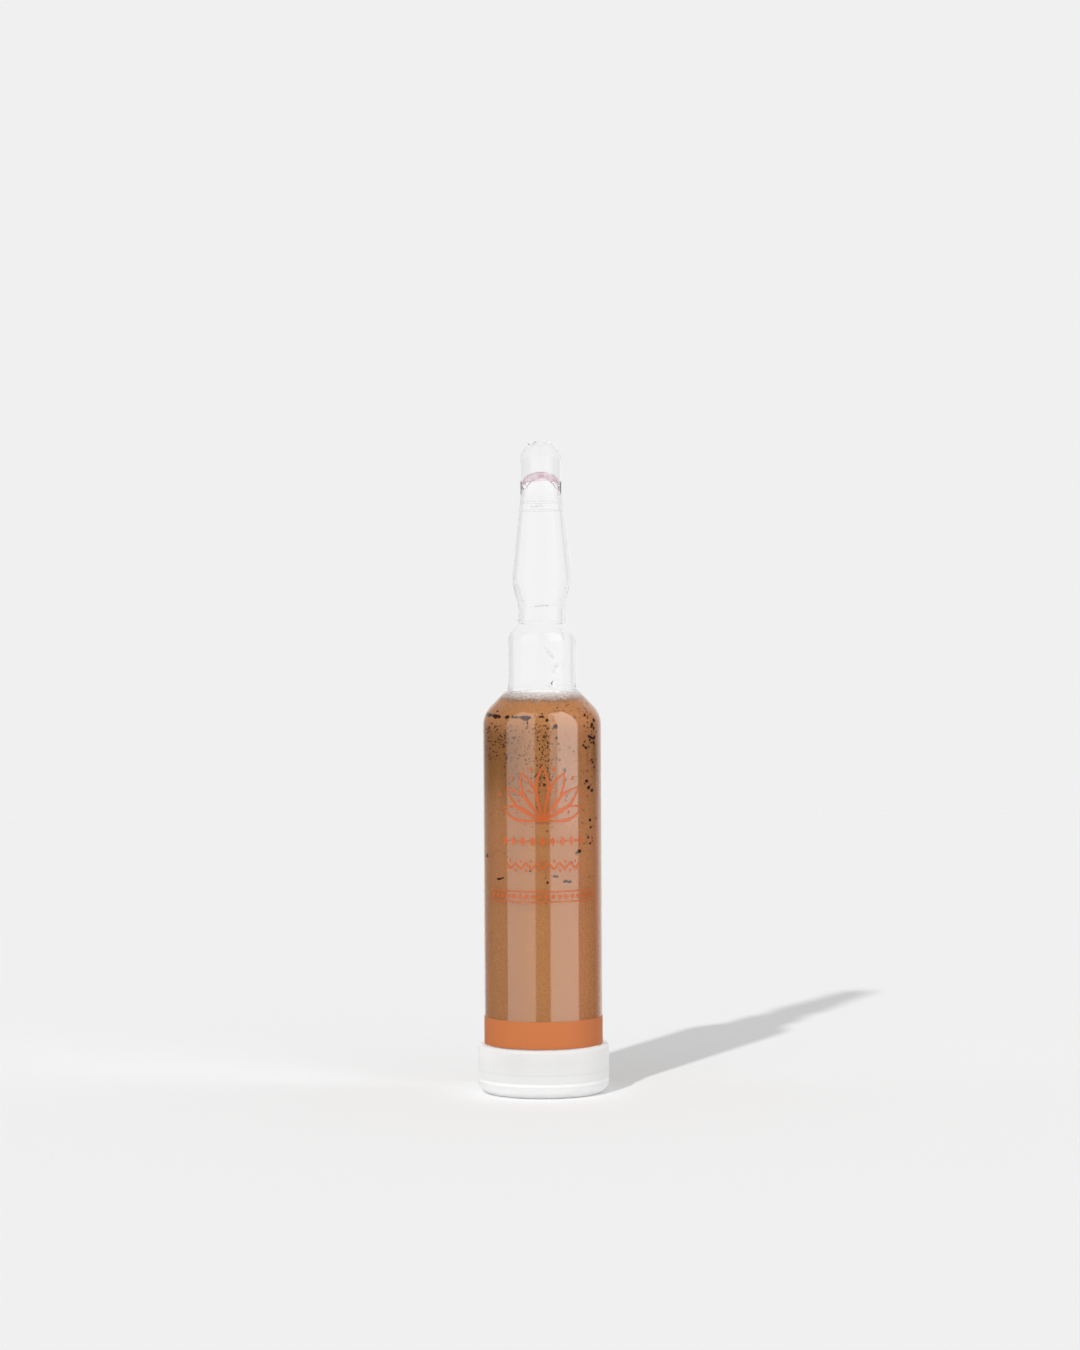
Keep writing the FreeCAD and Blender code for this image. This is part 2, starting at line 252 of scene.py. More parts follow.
# %% Suns
SUN_ELEVATION = math.radians(36.6)
SUN_AZIMUTH = math.radians(24.2)
SUN_WIDTH = math.radians(1.8)
FILL_ELEVATION = math.radians(15.0)
FILL_AZIMUTH = math.radians(65.0)
FILL_LEFT_STRENGTH = 0.3
FILL_RIGHT_STRENGTH = 0.75
FILL_ON_FLOOR = (FILL_LEFT_STRENGTH + FILL_RIGHT_STRENGTH) * math.sin(FILL_ELEVATION) / math.pi
SUN_STRENGTH = (1.0 - AMBIENT_LIGHT - FILL_ON_FLOOR) * math.pi / math.sin(SUN_ELEVATION)


def add_sun(name, strength, elevation, azimuth, casts_shadow):
    """Adds a distant light that stands at an elevation, and at an azimuth left of the camera."""
    data = bpy.data.lights.new(name, "SUN")
    data.energy = strength
    data.angle = SUN_WIDTH
    data.use_shadow = casts_shadow
    data.cycles.use_multiple_importance_sampling = False
    light = bpy.data.objects.new(name, data)
    light.rotation_euler = Euler((math.radians(90) - elevation, 0.0, -azimuth), "XYZ")
    scene.collection.objects.link(light)


add_sun("sun", SUN_STRENGTH, SUN_ELEVATION, SUN_AZIMUTH, True)
add_sun("fill_left", FILL_LEFT_STRENGTH, FILL_ELEVATION, FILL_AZIMUTH, False)
add_sun("fill_right", FILL_RIGHT_STRENGTH, FILL_ELEVATION, -FILL_AZIMUTH, False)
print("sun strength", round(SUN_STRENGTH, 3))

# %% [markdown]
# The floor is one large plain sheet. It ends not far behind the object, where the backdrop has the same
# level, so no horizon shows. Reflections don't see it: the glass mirrors the room, and stays clear.

# %% Floor
FLOOR_HALF_WIDTH = 1.6
FLOOR_BACK = 0.45
FLOOR_FRONT = -1.8

floor_material = bpy.data.materials.new("pale_floor")
floor_material.use_nodes = True
floor_shader = floor_material.node_tree.nodes["Principled BSDF"]
floor_shader.inputs["Base Color"].default_value = shown(240, 240, 240)
floor_shader.inputs["Roughness"].default_value = 1.0
floor_shader.inputs["Specular IOR Level"].default_value = 0.0

floor_data = bpy.data.meshes.new("floor")
floor_corners = [
    (-FLOOR_HALF_WIDTH, FLOOR_FRONT, 0.0),
    (FLOOR_HALF_WIDTH, FLOOR_FRONT, 0.0),
    (FLOOR_HALF_WIDTH, FLOOR_BACK, 0.0),
    (-FLOOR_HALF_WIDTH, FLOOR_BACK, 0.0),
]
floor_data.from_pydata(floor_corners, [], [(0, 1, 2, 3)])
floor_data.materials.append(floor_material)
floor = bpy.data.objects.new("floor", floor_data)
scene.collection.objects.link(floor)
floor.visible_glossy = False
print("floor", 2 * FLOOR_HALF_WIDTH, "by", FLOOR_BACK - FLOOR_FRONT, "metres")

# %% [markdown]
# Every piece here is turned: glass, contents, cap and ink ring share one axis. Blender could turn them
# with a Screw modifier, but a lathe in mesh code lets single rings be dented later, for the score and
# for drops. The profile is a list of corners, and a corner with a rounding becomes a tangent arc.


# %% Helpers for profiles
ARC_STEP = math.radians(6.0)


def on_circle(radius, azimuth, height):
    """Returns a point at a distance from the axis. Azimuth 0 is the front, and it grows to the right."""
    return Vector((radius * math.sin(azimuth), -radius * math.cos(azimuth), height))


def even_shares(steps):
    """Returns the shares of a way that is walked in equal steps, from 0 to 1."""
    return [step / steps for step in range(steps + 1)]


def rounded(corners):
    """Returns a profile's points, with each (radius, height, rounding) corner turned into an arc."""
    points = []
    last = len(corners) - 1
    for index, (radius, height, rounding) in enumerate(corners):
        corner = Vector((radius, height))
        if rounding == 0 or index in (0, last):
            points.append(corner)
            continue
        back = (Vector(corners[index - 1][:2]) - corner).normalized()
        ahead = (Vector(corners[index + 1][:2]) - corner).normalized()
        half_angle = back.angle(ahead) / 2
        centre = corner + (back + ahead).normalized() * (rounding / math.sin(half_angle))
        reach = rounding / math.tan(half_angle)
        spoke = corner + back * reach - centre
        end = corner + ahead * reach - centre
        sweep = math.atan2(spoke.x * end.y - spoke.y * end.x, spoke.dot(end))
        steps = max(2, math.ceil(abs(sweep) / ARC_STEP))
        for step in range(steps + 1):
            points.append(centre + Matrix.Rotation(sweep * step / steps, 2) @ spoke)
    return points


def refined(points, spacing):
    """Returns the same profile with long straight stretches divided."""
    finer = [points[0]]
    for start, end in zip(points, points[1:]):
        count = max(1, math.ceil((end - start).length / spacing))
        finer += [start.lerp(end, step / count) for step in range(1, count + 1)]
    return finer


# %% Lathe
SEGMENTS = 192
FEW_SEGMENTS = 96
ON_THE_AXIS = 1e-7


def turn(profile, place=None, closed=False, segments=SEGMENTS):
    """Turns a profile round the Z axis. place(radius, height, azimuth) returns a point's true two."""
    shape = bmesh.new()
    rings = []
    for radius, height in profile:
        if radius < ON_THE_AXIS:
            middle_height = place(radius, height, 0.0)[1] if place else height
            rings.append([shape.verts.new((0.0, 0.0, middle_height))])
            continue
        ring = []
        for step in range(segments):
            azimuth = math.tau * step / segments
            r, z = place(radius, height, azimuth) if place else (radius, height)
            ring.append(shape.verts.new(on_circle(r, azimuth, z)))
        rings.append(ring)
    if closed:
        rings.append(rings[0])
    for lower, upper in zip(rings, rings[1:]):
        for step in range(segments):
            after = (step + 1) % segments
            corners = [lower[step % len(lower)], lower[after % len(lower)]]
            corners += [upper[after % len(upper)], upper[step % len(upper)]]
            corners = list(dict.fromkeys(corners))
            if len(corners) > 2:
                shape.faces.new(corners)
    bmesh.ops.recalc_face_normals(shape, faces=shape.faces)
    return shape


print("a full ring has", SEGMENTS, "segments, a small one", FEW_SEGMENTS)

# %% Adding a piece
SHARP_FROM = math.radians(40.0)


def add_piece(name, shape, materials, node=None):
    """Makes a smooth-shaded piece of the object from a shape, and hides the CAD node it stands for."""
    data = bpy.data.meshes.new(name)
    shape.to_mesh(data)
    shape.free()
    for material in materials:
        data.materials.append(material)
    data.shade_smooth()
    data.set_sharp_from_angle(angle=SHARP_FROM)
    piece = bpy.data.objects.new(name, data)
    scene.collection.objects.link(piece)
    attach(piece, "root")
    if node:
        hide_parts(node)
    print(name, "triangles", sum(len(face.vertices) - 2 for face in data.polygons))
    return piece


# %% [markdown]
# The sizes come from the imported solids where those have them. The heights of the glass's own corners
# follow from the tube's end by the rises of its blown stretches, as on a drawing.

# %% Sizes of the glass
glass_low, glass_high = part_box("glass_ampoule")
_, cap_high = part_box("base_cap")
fill_low, fill_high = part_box("contents")
_, ring_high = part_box("enamel_band")

BODY_RADIUS = glass_high.x
BODY_BORE = fill_high.x
COLLAR_RADIUS = 5.07 * MM
NECK_RADIUS = 3.5 * MM
BULB_RADIUS = 4.45 * MM
TIP_RADIUS = 3.07 * MM
TIP_TOP_RADIUS = 1.95 * MM
DIMPLE_RADIUS = 0.4 * MM
COLLAR_WALL = 0.6 * MM
NECK_WALL = 0.7 * MM
BULB_WALL = 0.5 * MM
WALL = BODY_RADIUS - BODY_BORE

TUBE_END = glass_low.z
SHOULDER = TUBE_END + 53.5 * MM
COLLAR_FOOT = SHOULDER + 3.9 * MM
COLLAR_TOP = COLLAR_FOOT + 8.1 * MM
NECK_FOOT = COLLAR_TOP + 1.9 * MM
NECK_TOP = NECK_FOOT + 2.3 * MM
BULB = NECK_TOP + 3.9 * MM
TIP_FOOT = BULB + 12.5 * MM
TIP_TAPER = TIP_FOOT + 6.1 * MM
TIP_TOP = TIP_TAPER + 2.4 * MM
DIMPLE_DEPTH = 0.1 * MM
DOME_TOP = TIP_TOP - 4.7 * MM
DOME_RISE = 4.5 * MM
DOME_RADIUS = 2.72 * MM
print("body radius", BODY_RADIUS, "bore", BODY_BORE, "top", round(TIP_TOP, 5), "packed top", glass_high.z)

# %% [markdown]
# Some effects belong to more than one finish, so each is a node group, built once: grain, for the tiny
# unevenness of ink, plastic and mud, and streaks, for what has run down a wall. A group gives out masks
# between 0 and 1, and each material decides what they mean. Coordinates are the piece's own, in metres,
# so the grain keeps its real size on every piece.


# %% Helpers for shared effects
def new_group(name, entries, results):
    """Starts a shader node group with number inputs and mask outputs, and returns its inner ends."""
    group = bpy.data.node_groups.new(name, "ShaderNodeTree")
    for label, value in entries.items():
        socket = group.interface.new_socket(label, in_out="INPUT", socket_type="NodeSocketFloat")
        socket.default_value = value
    for label in results:
        group.interface.new_socket(label, in_out="OUTPUT", socket_type="NodeSocketFloat")
    return group, group.nodes.new("NodeGroupInput").outputs, group.nodes.new("NodeGroupOutput").inputs


def noise_node(tree, place, scale, detail, roughness=0.5):
    """Adds a noise texture over a place and returns its value."""
    node = tree.nodes.new("ShaderNodeTexNoise")
    feed(tree, place, node.inputs["Vector"])
    feed(tree, scale, node.inputs["Scale"])
    feed(tree, detail, node.inputs["Detail"])
    feed(tree, roughness, node.inputs["Roughness"])
    return node.outputs["Fac"]


def drawn_out(tree, place, upright_scale):
    """Returns a place whose height is scaled, so that what is laid over it is drawn out upright."""
    node = tree.nodes.new("ShaderNodeVectorMath")
    node.operation = "MULTIPLY"
    feed(tree, place, node.inputs[0])
    node.inputs[1].default_value = (1.0, 1.0, upright_scale)
    return node.outputs[0]


# %% Grain and streaks
RUN_UPRIGHT_SCALE = 0.12
RUN_EDGE = 0.2

grain_entries = {"Grains per metre": 5000.0, "Contrast": 0.5}
grain_group, entries, results = new_group("fine_grain", grain_entries, ["Mask"])
own_place = grain_group.nodes.new("ShaderNodeTexCoord").outputs["Object"]
fine = noise_node(grain_group, own_place, entries["Grains per metre"], 3.0, 0.6)
centred = math_node(grain_group, "SUBTRACT", fine, 0.5)
spread = math_node(grain_group, "MULTIPLY_ADD", centred, entries["Contrast"], 0.5)
feed(grain_group, spread, results["Mask"])

streak_entries = {"Streaks per metre": 900.0, "Amount": 0.5}
streak_group, entries, results = new_group("run_streaks", streak_entries, ["Mask"])
own_place = streak_group.nodes.new("ShaderNodeTexCoord").outputs["Object"]
run_place = drawn_out(streak_group, own_place, RUN_UPRIGHT_SCALE)
runs = noise_node(streak_group, run_place, entries["Streaks per metre"], 3.0, 0.55)
threshold = math_node(streak_group, "SUBTRACT", 1.0, entries["Amount"])
upper = math_node(streak_group, "ADD", threshold, RUN_EDGE)
feed(streak_group, ramp(streak_group, runs, threshold, upper), results["Mask"])
print("shared effects:", [group.name for group in bpy.data.node_groups])


# %% Helpers for materials
GRAIN_LOW, GRAIN_HIGH = 0.2, 0.8


def new_material(name, roughness, ior=1.5, specular=0.5):
    """Starts a material and returns it with its tree and its shader."""
    material = bpy.data.materials.new(name)
    material.use_nodes = True
    shader = material.node_tree.nodes["Principled BSDF"]
    feed(material.node_tree, roughness, shader.inputs["Roughness"])
    shader.inputs["IOR"].default_value = ior
    shader.inputs["Specular IOR Level"].default_value = specular
    return material, material.node_tree, shader


def place_group(tree, group, *values):
    """Puts a shared effect into a material with its own values, and returns its mask."""
    node = tree.nodes.new("ShaderNodeGroup")
    node.node_tree = group
    for socket, value in zip(node.inputs, values):
        socket.default_value = value
    return node.outputs["Mask"]


def grain(tree, per_metre, contrast):
    """Puts the fine grain into a material and returns its mask."""
    return place_group(tree, grain_group, per_metre, contrast)


def streaks(tree, per_metre, amount):
    """Puts the run streaks into a material and returns their mask."""
    return place_group(tree, streak_group, per_metre, amount)


def by_grain(tree, mask, low, high):
    """Returns a number that the grain moves between low and high."""
    return ramp(tree, mask, GRAIN_LOW, GRAIN_HIGH, low, high)


def colour_by(tree, shader, mask, first, second):
    """Gives a shader the first colour where a mask is 0 and the second where it is 1."""
    feed(tree, mix_colours(tree, mask, first, second), shader.inputs["Base Color"])


def bump(tree, shader, height, depth, strength):
    """Roughens a shader by a height between 0 and 1 that stands for a depth in metres."""
    node = tree.nodes.new("ShaderNodeBump")
    node.inputs["Strength"].default_value = strength
    node.inputs["Distance"].default_value = depth
    feed(tree, height, node.inputs["Height"])
    feed(tree, node.outputs["Normal"], shader.inputs["Normal"])


def own_axes(tree):
    """Returns the x, y and z of a point in the piece's own space."""
    split = tree.nodes.new("ShaderNodeSeparateXYZ")
    feed(tree, tree.nodes.new("ShaderNodeTexCoord").outputs["Object"], split.inputs[0])
    return split.outputs["X"], split.outputs["Y"], split.outputs["Z"]


# %% [markdown]
# Clear glass needs true refraction at both of its faces, so it is one closed wall with the cavity inside.
# A Principled shader with full transmission does that. Lamps would then reach the contents only by chance,
# so for shadow rays the wall is a plain clear sheet: clean over the contents, and greyer above them,
# where the empty glass throws a shadow of its own. The empty stretch mirrors less than the filled one,
# because the room behind it is as bright as what it mirrors, and the collar's top lies between the two.

# %% Glass materials
GLASS_IOR = 1.5


def new_glass(name, shine, shadow_tint):
    """Makes clear glass with a share of its full shine, and a tint that its shadow takes at each face."""
    material, tree, shader = new_material(name, 0.0, GLASS_IOR)
    shader.inputs["Base Color"].default_value = (1.0, 1.0, 1.0, 1.0)
    shader.inputs["Specular Tint"].default_value = (shine, shine, shine, 1.0)
    shader.inputs["Transmission Weight"].default_value = 1.0
    see_through = tree.nodes.new("ShaderNodeBsdfTransparent")
    see_through.inputs["Color"].default_value = (shadow_tint, shadow_tint, shadow_tint, 1.0)
    either = tree.nodes.new("ShaderNodeMixShader")
    feed(tree, tree.nodes.new("ShaderNodeLightPath").outputs["Is Shadow Ray"], either.inputs[0])
    feed(tree, shader.outputs[0], either.inputs[1])
    feed(tree, see_through.outputs[0], either.inputs[2])
    feed(tree, either.outputs[0], tree.nodes["Material Output"].inputs["Surface"])
    return material


filled_glass = new_glass("glass_over_contents", shine=1.0, shadow_tint=1.0)
empty_glass = new_glass("empty_glass", shine=0.1, shadow_tint=0.2)
collar_glass = new_glass("collar_top_glass", shine=0.45, shadow_tint=0.2)
GLASS_KINDS = [filled_glass, empty_glass, collar_glass]
print("kinds of glass:", [material.name for material in GLASS_KINDS])

# %% [markdown]
# Both faces of the wall are drawn as profiles from the tip down and from the tube's end up. They share
# their heights, and on a slope the inner corner lies lower by what the wall's thickness asks for. The
# cavity ends under the solid tip in a dome, half of a tall ellipse.

# %% Outer face of the glass
OUTSIDE = rounded([
    (0.0, TIP_TOP - DIMPLE_DEPTH, 0.0),
    (DIMPLE_RADIUS, TIP_TOP - DIMPLE_DEPTH, 1.0 * MM),
    (TIP_TOP_RADIUS, TIP_TOP, 2.0 * MM),
    (TIP_RADIUS, TIP_TAPER, 3.5 * MM),
    (TIP_RADIUS, TIP_FOOT, 10.0 * MM),
    (BULB_RADIUS, BULB, 5.0 * MM),
    (NECK_RADIUS, NECK_TOP, 1.5 * MM),
    (NECK_RADIUS, NECK_FOOT, 0.5 * MM),
    (COLLAR_RADIUS, COLLAR_TOP, 2.0 * MM),
    (COLLAR_RADIUS, COLLAR_FOOT, 1.2 * MM),
    (BODY_RADIUS, SHOULDER, 4.0 * MM),
    (BODY_RADIUS, TUBE_END, 0.2 * MM),
    (BODY_BORE, TUBE_END, 0.0),
])
print("points on the outer face", len(OUTSIDE))


# %% Cavity of the glass
def wall_drop(wall, wide, narrow, rise):
    """Returns how far below a slope's outer corner the inner one lies."""
    return wall * math.tan(math.atan2(wide - narrow, rise) / 2)


shoulder_drop = wall_drop(WALL, BODY_RADIUS, COLLAR_RADIUS, COLLAR_FOOT - SHOULDER)
collar_drop = wall_drop(COLLAR_WALL, COLLAR_RADIUS, NECK_RADIUS, NECK_FOOT - COLLAR_TOP)
CAVITY = rounded([
    (BODY_BORE, TUBE_END, 0.0),
    (BODY_BORE, SHOULDER - shoulder_drop, 3.4 * MM),
    (COLLAR_RADIUS - COLLAR_WALL, COLLAR_FOOT - shoulder_drop, 1.6 * MM),
    (COLLAR_RADIUS - COLLAR_WALL, COLLAR_TOP - collar_drop, 1.4 * MM),
    (NECK_RADIUS - NECK_WALL, NECK_FOOT - collar_drop, 0.9 * MM),
    (NECK_RADIUS - NECK_WALL, NECK_TOP, 1.8 * MM),
    (BULB_RADIUS - BULB_WALL, BULB, 4.5 * MM),
    (DOME_RADIUS, DOME_TOP - DOME_RISE, 0.0),
])


def dome_height(radius):
    """Returns the height of the cavity's domed end at a radius: half of a tall ellipse."""
    share = min(1.0, radius / DOME_RADIUS)
    return DOME_TOP - DOME_RISE + DOME_RISE * math.sqrt(1 - share ** 2)


DOME_STEPS = 24
for step in range(1, DOME_STEPS + 1):
    radius = DOME_RADIUS * math.cos(math.pi / 2 * step / DOME_STEPS)
    CAVITY.append(Vector((radius if step < DOME_STEPS else 0.0, dome_height(radius))))


def radius_at(profile, height):
    """Returns the radius of a profile at a height."""
    for start, end in zip(profile, profile[1:]):
        low, high = (start, end) if start.y < end.y else (end, start)
        if low.y <= height <= high.y and high.y > low.y:
            return low.x + (high.x - low.x) * (height - low.y) / (high.y - low.y)
    return profile[-1].x


def cavity_radius(height):
    """Returns the bore of the glass at a height."""
    return radius_at(CAVITY, height)


print("points in the cavity", len(CAVITY))

# %% [markdown]
# A file has scored the front of the neck, so that the tip snaps off there, and a few drops cling to the
# inside of the collar and bend the light like small lenses. Both could be cut or added as pieces, but a
# drop that is glass in the glass has no face of its own. So the lathe's points are moved a little, and
# the rings stand closer there to keep the form.

# %% Score and drops in the glass wall
SCORE_HEIGHT = NECK_TOP + 0.3 * MM
SCORE_HALF_ANGLE = math.radians(32.0)
SCORE_WIDTH = 0.22 * MM
SCORE_DEPTH = 0.16 * MM
SCORE_SLANT = 0.25 * MM
SCORE_REACH = SCORE_WIDTH + SCORE_SLANT * SCORE_HALF_ANGLE
SCORE_RINGS = 14
DROP_ZONE_LOW, DROP_ZONE_HIGH = 59.5 * MM, 69.5 * MM
DROP_RINGS = 60
ON_THE_BORE = 0.05 * MM
WALL_SPACING = 2.0 * MM
DROPS = [
    # azimuth in degrees, height, half width, half height and depth in millimetres
    (33.0, 63.9, 1.7, 1.35, 0.45),
    (22.5, 62.0, 0.6, 0.6, 0.3),
    (-4.0, 64.4, 0.2, 0.2, 0.1),
]


def angle_between(first, second):
    """Returns the signed angle from second to first, between minus and plus half a turn."""
    return (first - second + math.pi) % math.tau - math.pi


def dome(distance):
    """Returns a smooth hump: 1 in the middle and 0 from a distance of 1."""
    return (1 - min(1.0, distance) ** 2) ** 2


def scored(radius, height, azimuth):
    """Sinks the slanting score into the front of the neck."""
    aside = angle_between(azimuth, 0.0)
    up = abs(height - SCORE_HEIGHT - SCORE_SLANT * aside) / SCORE_WIDTH
    return radius - SCORE_DEPTH * dome(up) * math.sqrt(dome(abs(aside) / SCORE_HALF_ANGLE))


def with_drops(radius, height, azimuth):
    """Thickens the wall inwards where a drop hangs on it."""
    for degrees, middle, half_width, half_height, depth in DROPS:
        across = angle_between(azimuth, math.radians(degrees)) * radius / (half_width * MM)
        up = (height - middle * MM) / (half_height * MM)
        radius -= depth * MM * dome(math.hypot(across, up))
    return radius


def glass_point(radius, height, azimuth):
    """Returns the true radius and height of a point of the glass, outside or in the cavity."""
    if abs(height - SCORE_HEIGHT) < SCORE_REACH and radius > NECK_RADIUS - NECK_WALL / 2:
        radius = scored(radius, height, azimuth)
    if DROP_ZONE_LOW < height < COLLAR_TOP and radius < cavity_radius(height) + ON_THE_BORE:
        radius = with_drops(radius, height, azimuth)
    return radius, height


def with_rings(profile, from_height, to_height, count):
    """Returns a profile with extra points between two heights, so that a small dent keeps its form."""
    extra = [from_height + (to_height - from_height) * share for share in even_shares(count)]
    finer = [profile[0]]
    for start, end in zip(profile, profile[1:]):
        low, high = sorted((start.y, end.y))
        inside = [height for height in extra if low < height < high]
        for height in sorted(inside, reverse=end.y < start.y):
            finer.append(start.lerp(end, (height - start.y) / (end.y - start.y)))
        finer.append(end)
    return finer


print("score", round(2 * SCORE_HALF_ANGLE * NECK_RADIUS / MM, 1), "mm long, drops", len(DROPS))

# %% Glass
EMPTY_FROM = fill_high.z + 0.6 * MM
SHINY_FROM, SHINY_TO = COLLAR_TOP - 0.7 * MM, COLLAR_TOP + 0.9 * MM


def glass_kind(height):
    """Returns which kind of glass shows at a height."""
    if height < EMPTY_FROM:
        return filled_glass
    return collar_glass if SHINY_FROM < height < SHINY_TO else empty_glass


outer_face = refined(OUTSIDE, WALL_SPACING)
outer_face = with_rings(outer_face, SCORE_HEIGHT - SCORE_REACH, SCORE_HEIGHT + SCORE_REACH, SCORE_RINGS)
inner_face = with_rings(refined(CAVITY, WALL_SPACING), DROP_ZONE_LOW, DROP_ZONE_HIGH, DROP_RINGS)
shape = turn(outer_face + inner_face[1:], glass_point)
for face in shape.faces:
    face.material_index = GLASS_KINDS.index(glass_kind(face.calc_center_median().z))
add_piece("ampoule_glass", shape, GLASS_KINDS, "glass_ampoule")

# %% [markdown]
# The contents are a thick brown mud that fills the tube from the cap's plug to the shoulder. It wets the
# glass, so there is no air between them: the mud's skin stands a hair inside the wall's material, and the
# eye sees its colour through one face of glass only. The colour isn't even. Near the top the wall carries
# a darker, wetter film, and the whole skin has a fine grain. The left side is painted darker, as painted
# shade, and the right side lighter, as painted light.

# %% Colour of the mud
MUD_COLOUR = shown(159, 111, 71)
# Painted shade on the left side and painted light on the right side of the mud:
MUD_PAINTED_SHADE_COLOUR = shown(152, 107, 72)
MUD_PAINTED_LIGHT_COLOUR = shown(170, 117, 78)
MUD_WET_COLOUR = shown(124, 84, 48)
CLOUDS_PER_METRE = 260.0
CLOUD_UPRIGHT_SCALE = 0.4
SIDE_FROM, SIDE_FULL = 0.1 * BODY_BORE, 0.7 * BODY_BORE
WET_FROM, WET_FULL = 44.5 * MM, 54.0 * MM
WET_UNTIL, WET_END = 53.5 * MM, 57.0 * MM
WET_WAVER = 9.0 * MM
RUN_WETNESS, LEAST_WETNESS = 0.6, 0.25
SPECKLE_DARK, SPECKLE_LIGHT = 0.8, 1.18

mud_material, tree, shader = new_material("brown_mud", 0.75, specular=0.0)
own_x, _, own_z = own_axes(tree)
own_place = tree.nodes.new("ShaderNodeTexCoord").outputs["Object"]
cloud = noise_node(tree, drawn_out(tree, own_place, CLOUD_UPRIGHT_SCALE), CLOUDS_PER_METRE, 3.0)
fine_mask = grain(tree, per_metre=4600.0, contrast=1.5)
run_mask = streaks(tree, per_metre=700.0, amount=0.5)
# The sides of the mud are painted: darker on the left as painted shade, lighter on the right as painted
# light.
painted_shade_left = ramp(tree, own_x, -SIDE_FULL, -SIDE_FROM, 1.0, 0.0)
painted_light_right = ramp(tree, own_x, SIDE_FROM, SIDE_FULL)
colour = mix_colours(tree, painted_shade_left, MUD_COLOUR, MUD_PAINTED_SHADE_COLOUR)
colour = mix_colours(tree, painted_light_right, colour, MUD_PAINTED_LIGHT_COLOUR)
wavering = math_node(tree, "MULTIPLY_ADD", cloud, WET_WAVER, own_z)
wet_low = ramp(tree, wavering, WET_FROM, WET_FULL)
wet_high = ramp(tree, own_z, WET_UNTIL, WET_END, 1.0, 0.0)
run_share = math_node(tree, "MULTIPLY_ADD", run_mask, RUN_WETNESS, LEAST_WETNESS)
# On the left the wet colour is laid in full, which adds to the painted shade there.
wetness = times(tree, wet_low, wet_high, math_node(tree, "MAXIMUM", run_share, painted_shade_left))
colour = mix_colours(tree, wetness, colour, MUD_WET_COLOUR)
speckle = by_grain(tree, fine_mask, SPECKLE_DARK, SPECKLE_LIGHT)
bright = tree.nodes.new("ShaderNodeCombineColor")
for socket in bright.inputs:
    feed(tree, speckle, socket)
feed(tree, mix_colours(tree, 1.0, colour, bright.outputs[0], "MULTIPLY"), shader.inputs["Base Color"])
bump(tree, shader, fine_mask, 0.02 * MM, 0.4)

# %% Top of the mud
# The top is pale froth painted near-white: a painted highlight where the meniscus shows bright.
top_highlight_material, tree, shader = new_material("mud_top_painted_highlight", 0.3, specular=0.5)
froth = grain(tree, per_metre=2600.0, contrast=1.4)
colour_by(tree, shader, froth, shown(232, 226, 221), shown(250, 249, 248))
bump(tree, shader, froth, 0.05 * MM, 0.5)
print("contents wear", mud_material.name, "on the wall and", top_highlight_material.name, "on top")

# %% Contents
MUD_OVERLAP = 0.02 * MM
FILL_LEVEL = fill_high.z + 0.2 * MM
MENISCUS = 0.5 * MM
MENISCUS_SHARPNESS = 6
FILL_TILT = 0.1 * MM
RIPPLE = 0.12 * MM
RIPPLES_PER_METRE = 400.0
RIPPLE_REACH = 1.2 * MM
TOP_STEPS = 12
SKIN_SPACING = 1.5 * MM


def fill_profile():
    """Returns the contents' profile, up the wall and in to the middle, and how many strips the wall has."""
    low = fill_low.z
    wall_points = refined(CAVITY, SKIN_SPACING)
    heights = [low] + [point.y for point in wall_points if low < point.y < FILL_LEVEL]
    wall = [Vector((cavity_radius(height) + MUD_OVERLAP, height)) for height in heights]
    edge = cavity_radius(FILL_LEVEL) + MUD_OVERLAP
    top = [Vector((edge, FILL_LEVEL))]
    for share in even_shares(TOP_STEPS)[1:]:
        drop = MENISCUS * (1 - math.exp(-MENISCUS_SHARPNESS * share))
        top.append(Vector((edge * (1 - share), FILL_LEVEL - drop)))
    return [Vector((0.0, low))] + wall + top, len(wall) + 1


def fill_point(radius, height, azimuth):
    """Tilts and ripples the top of the contents, and keeps their skin on the wall."""
    on_the_wall = radius > cavity_radius(height)
    share = min(1.0, max(0.0, height - FILL_LEVEL + RIPPLE_REACH) / RIPPLE_REACH)
    spot = on_circle(radius, azimuth, 0.0)
    height += share * (FILL_TILT * spot.x / BODY_BORE + RIPPLE * noise.noise(spot * RIPPLES_PER_METRE))
    if on_the_wall:
        radius = cavity_radius(height) + MUD_OVERLAP
    return radius, height


profile, wall_count = fill_profile()
shape = turn(profile, fill_point)
for index, face in enumerate(shape.faces):
    face.material_index = int(index // SEGMENTS >= wall_count)
add_piece("brown_contents", shape, [mud_material, top_highlight_material], "contents")

# %% [markdown]
# Where the mud ends, a greyish froth has dried on the front of the wall and fades upwards. It could be a
# colour on the mud, but it stands above it, so it is a thin skin of its own that hugs the inner wall. Its
# material lets more light through with height, and the grain breaks its edge up.

# %% Froth material
FROTH_WAVER = 0.9 * MM
FROTH_PALES_FROM, FROTH_PALE = FILL_LEVEL + 0.3 * MM, FILL_LEVEL + 1.6 * MM
FROTH_STARTS, FROTH_FULL = FILL_LEVEL - 0.15 * MM, FILL_LEVEL + 0.5 * MM
FROTH_FADES_FROM = FILL_LEVEL + 0.4 * MM
FROTH_FADE = 0.9 * MM
FROTH_RUN = 0.3 * MM
FROTH_THINNEST = 0.88
FRONT_EDGE = 1.0 * MM

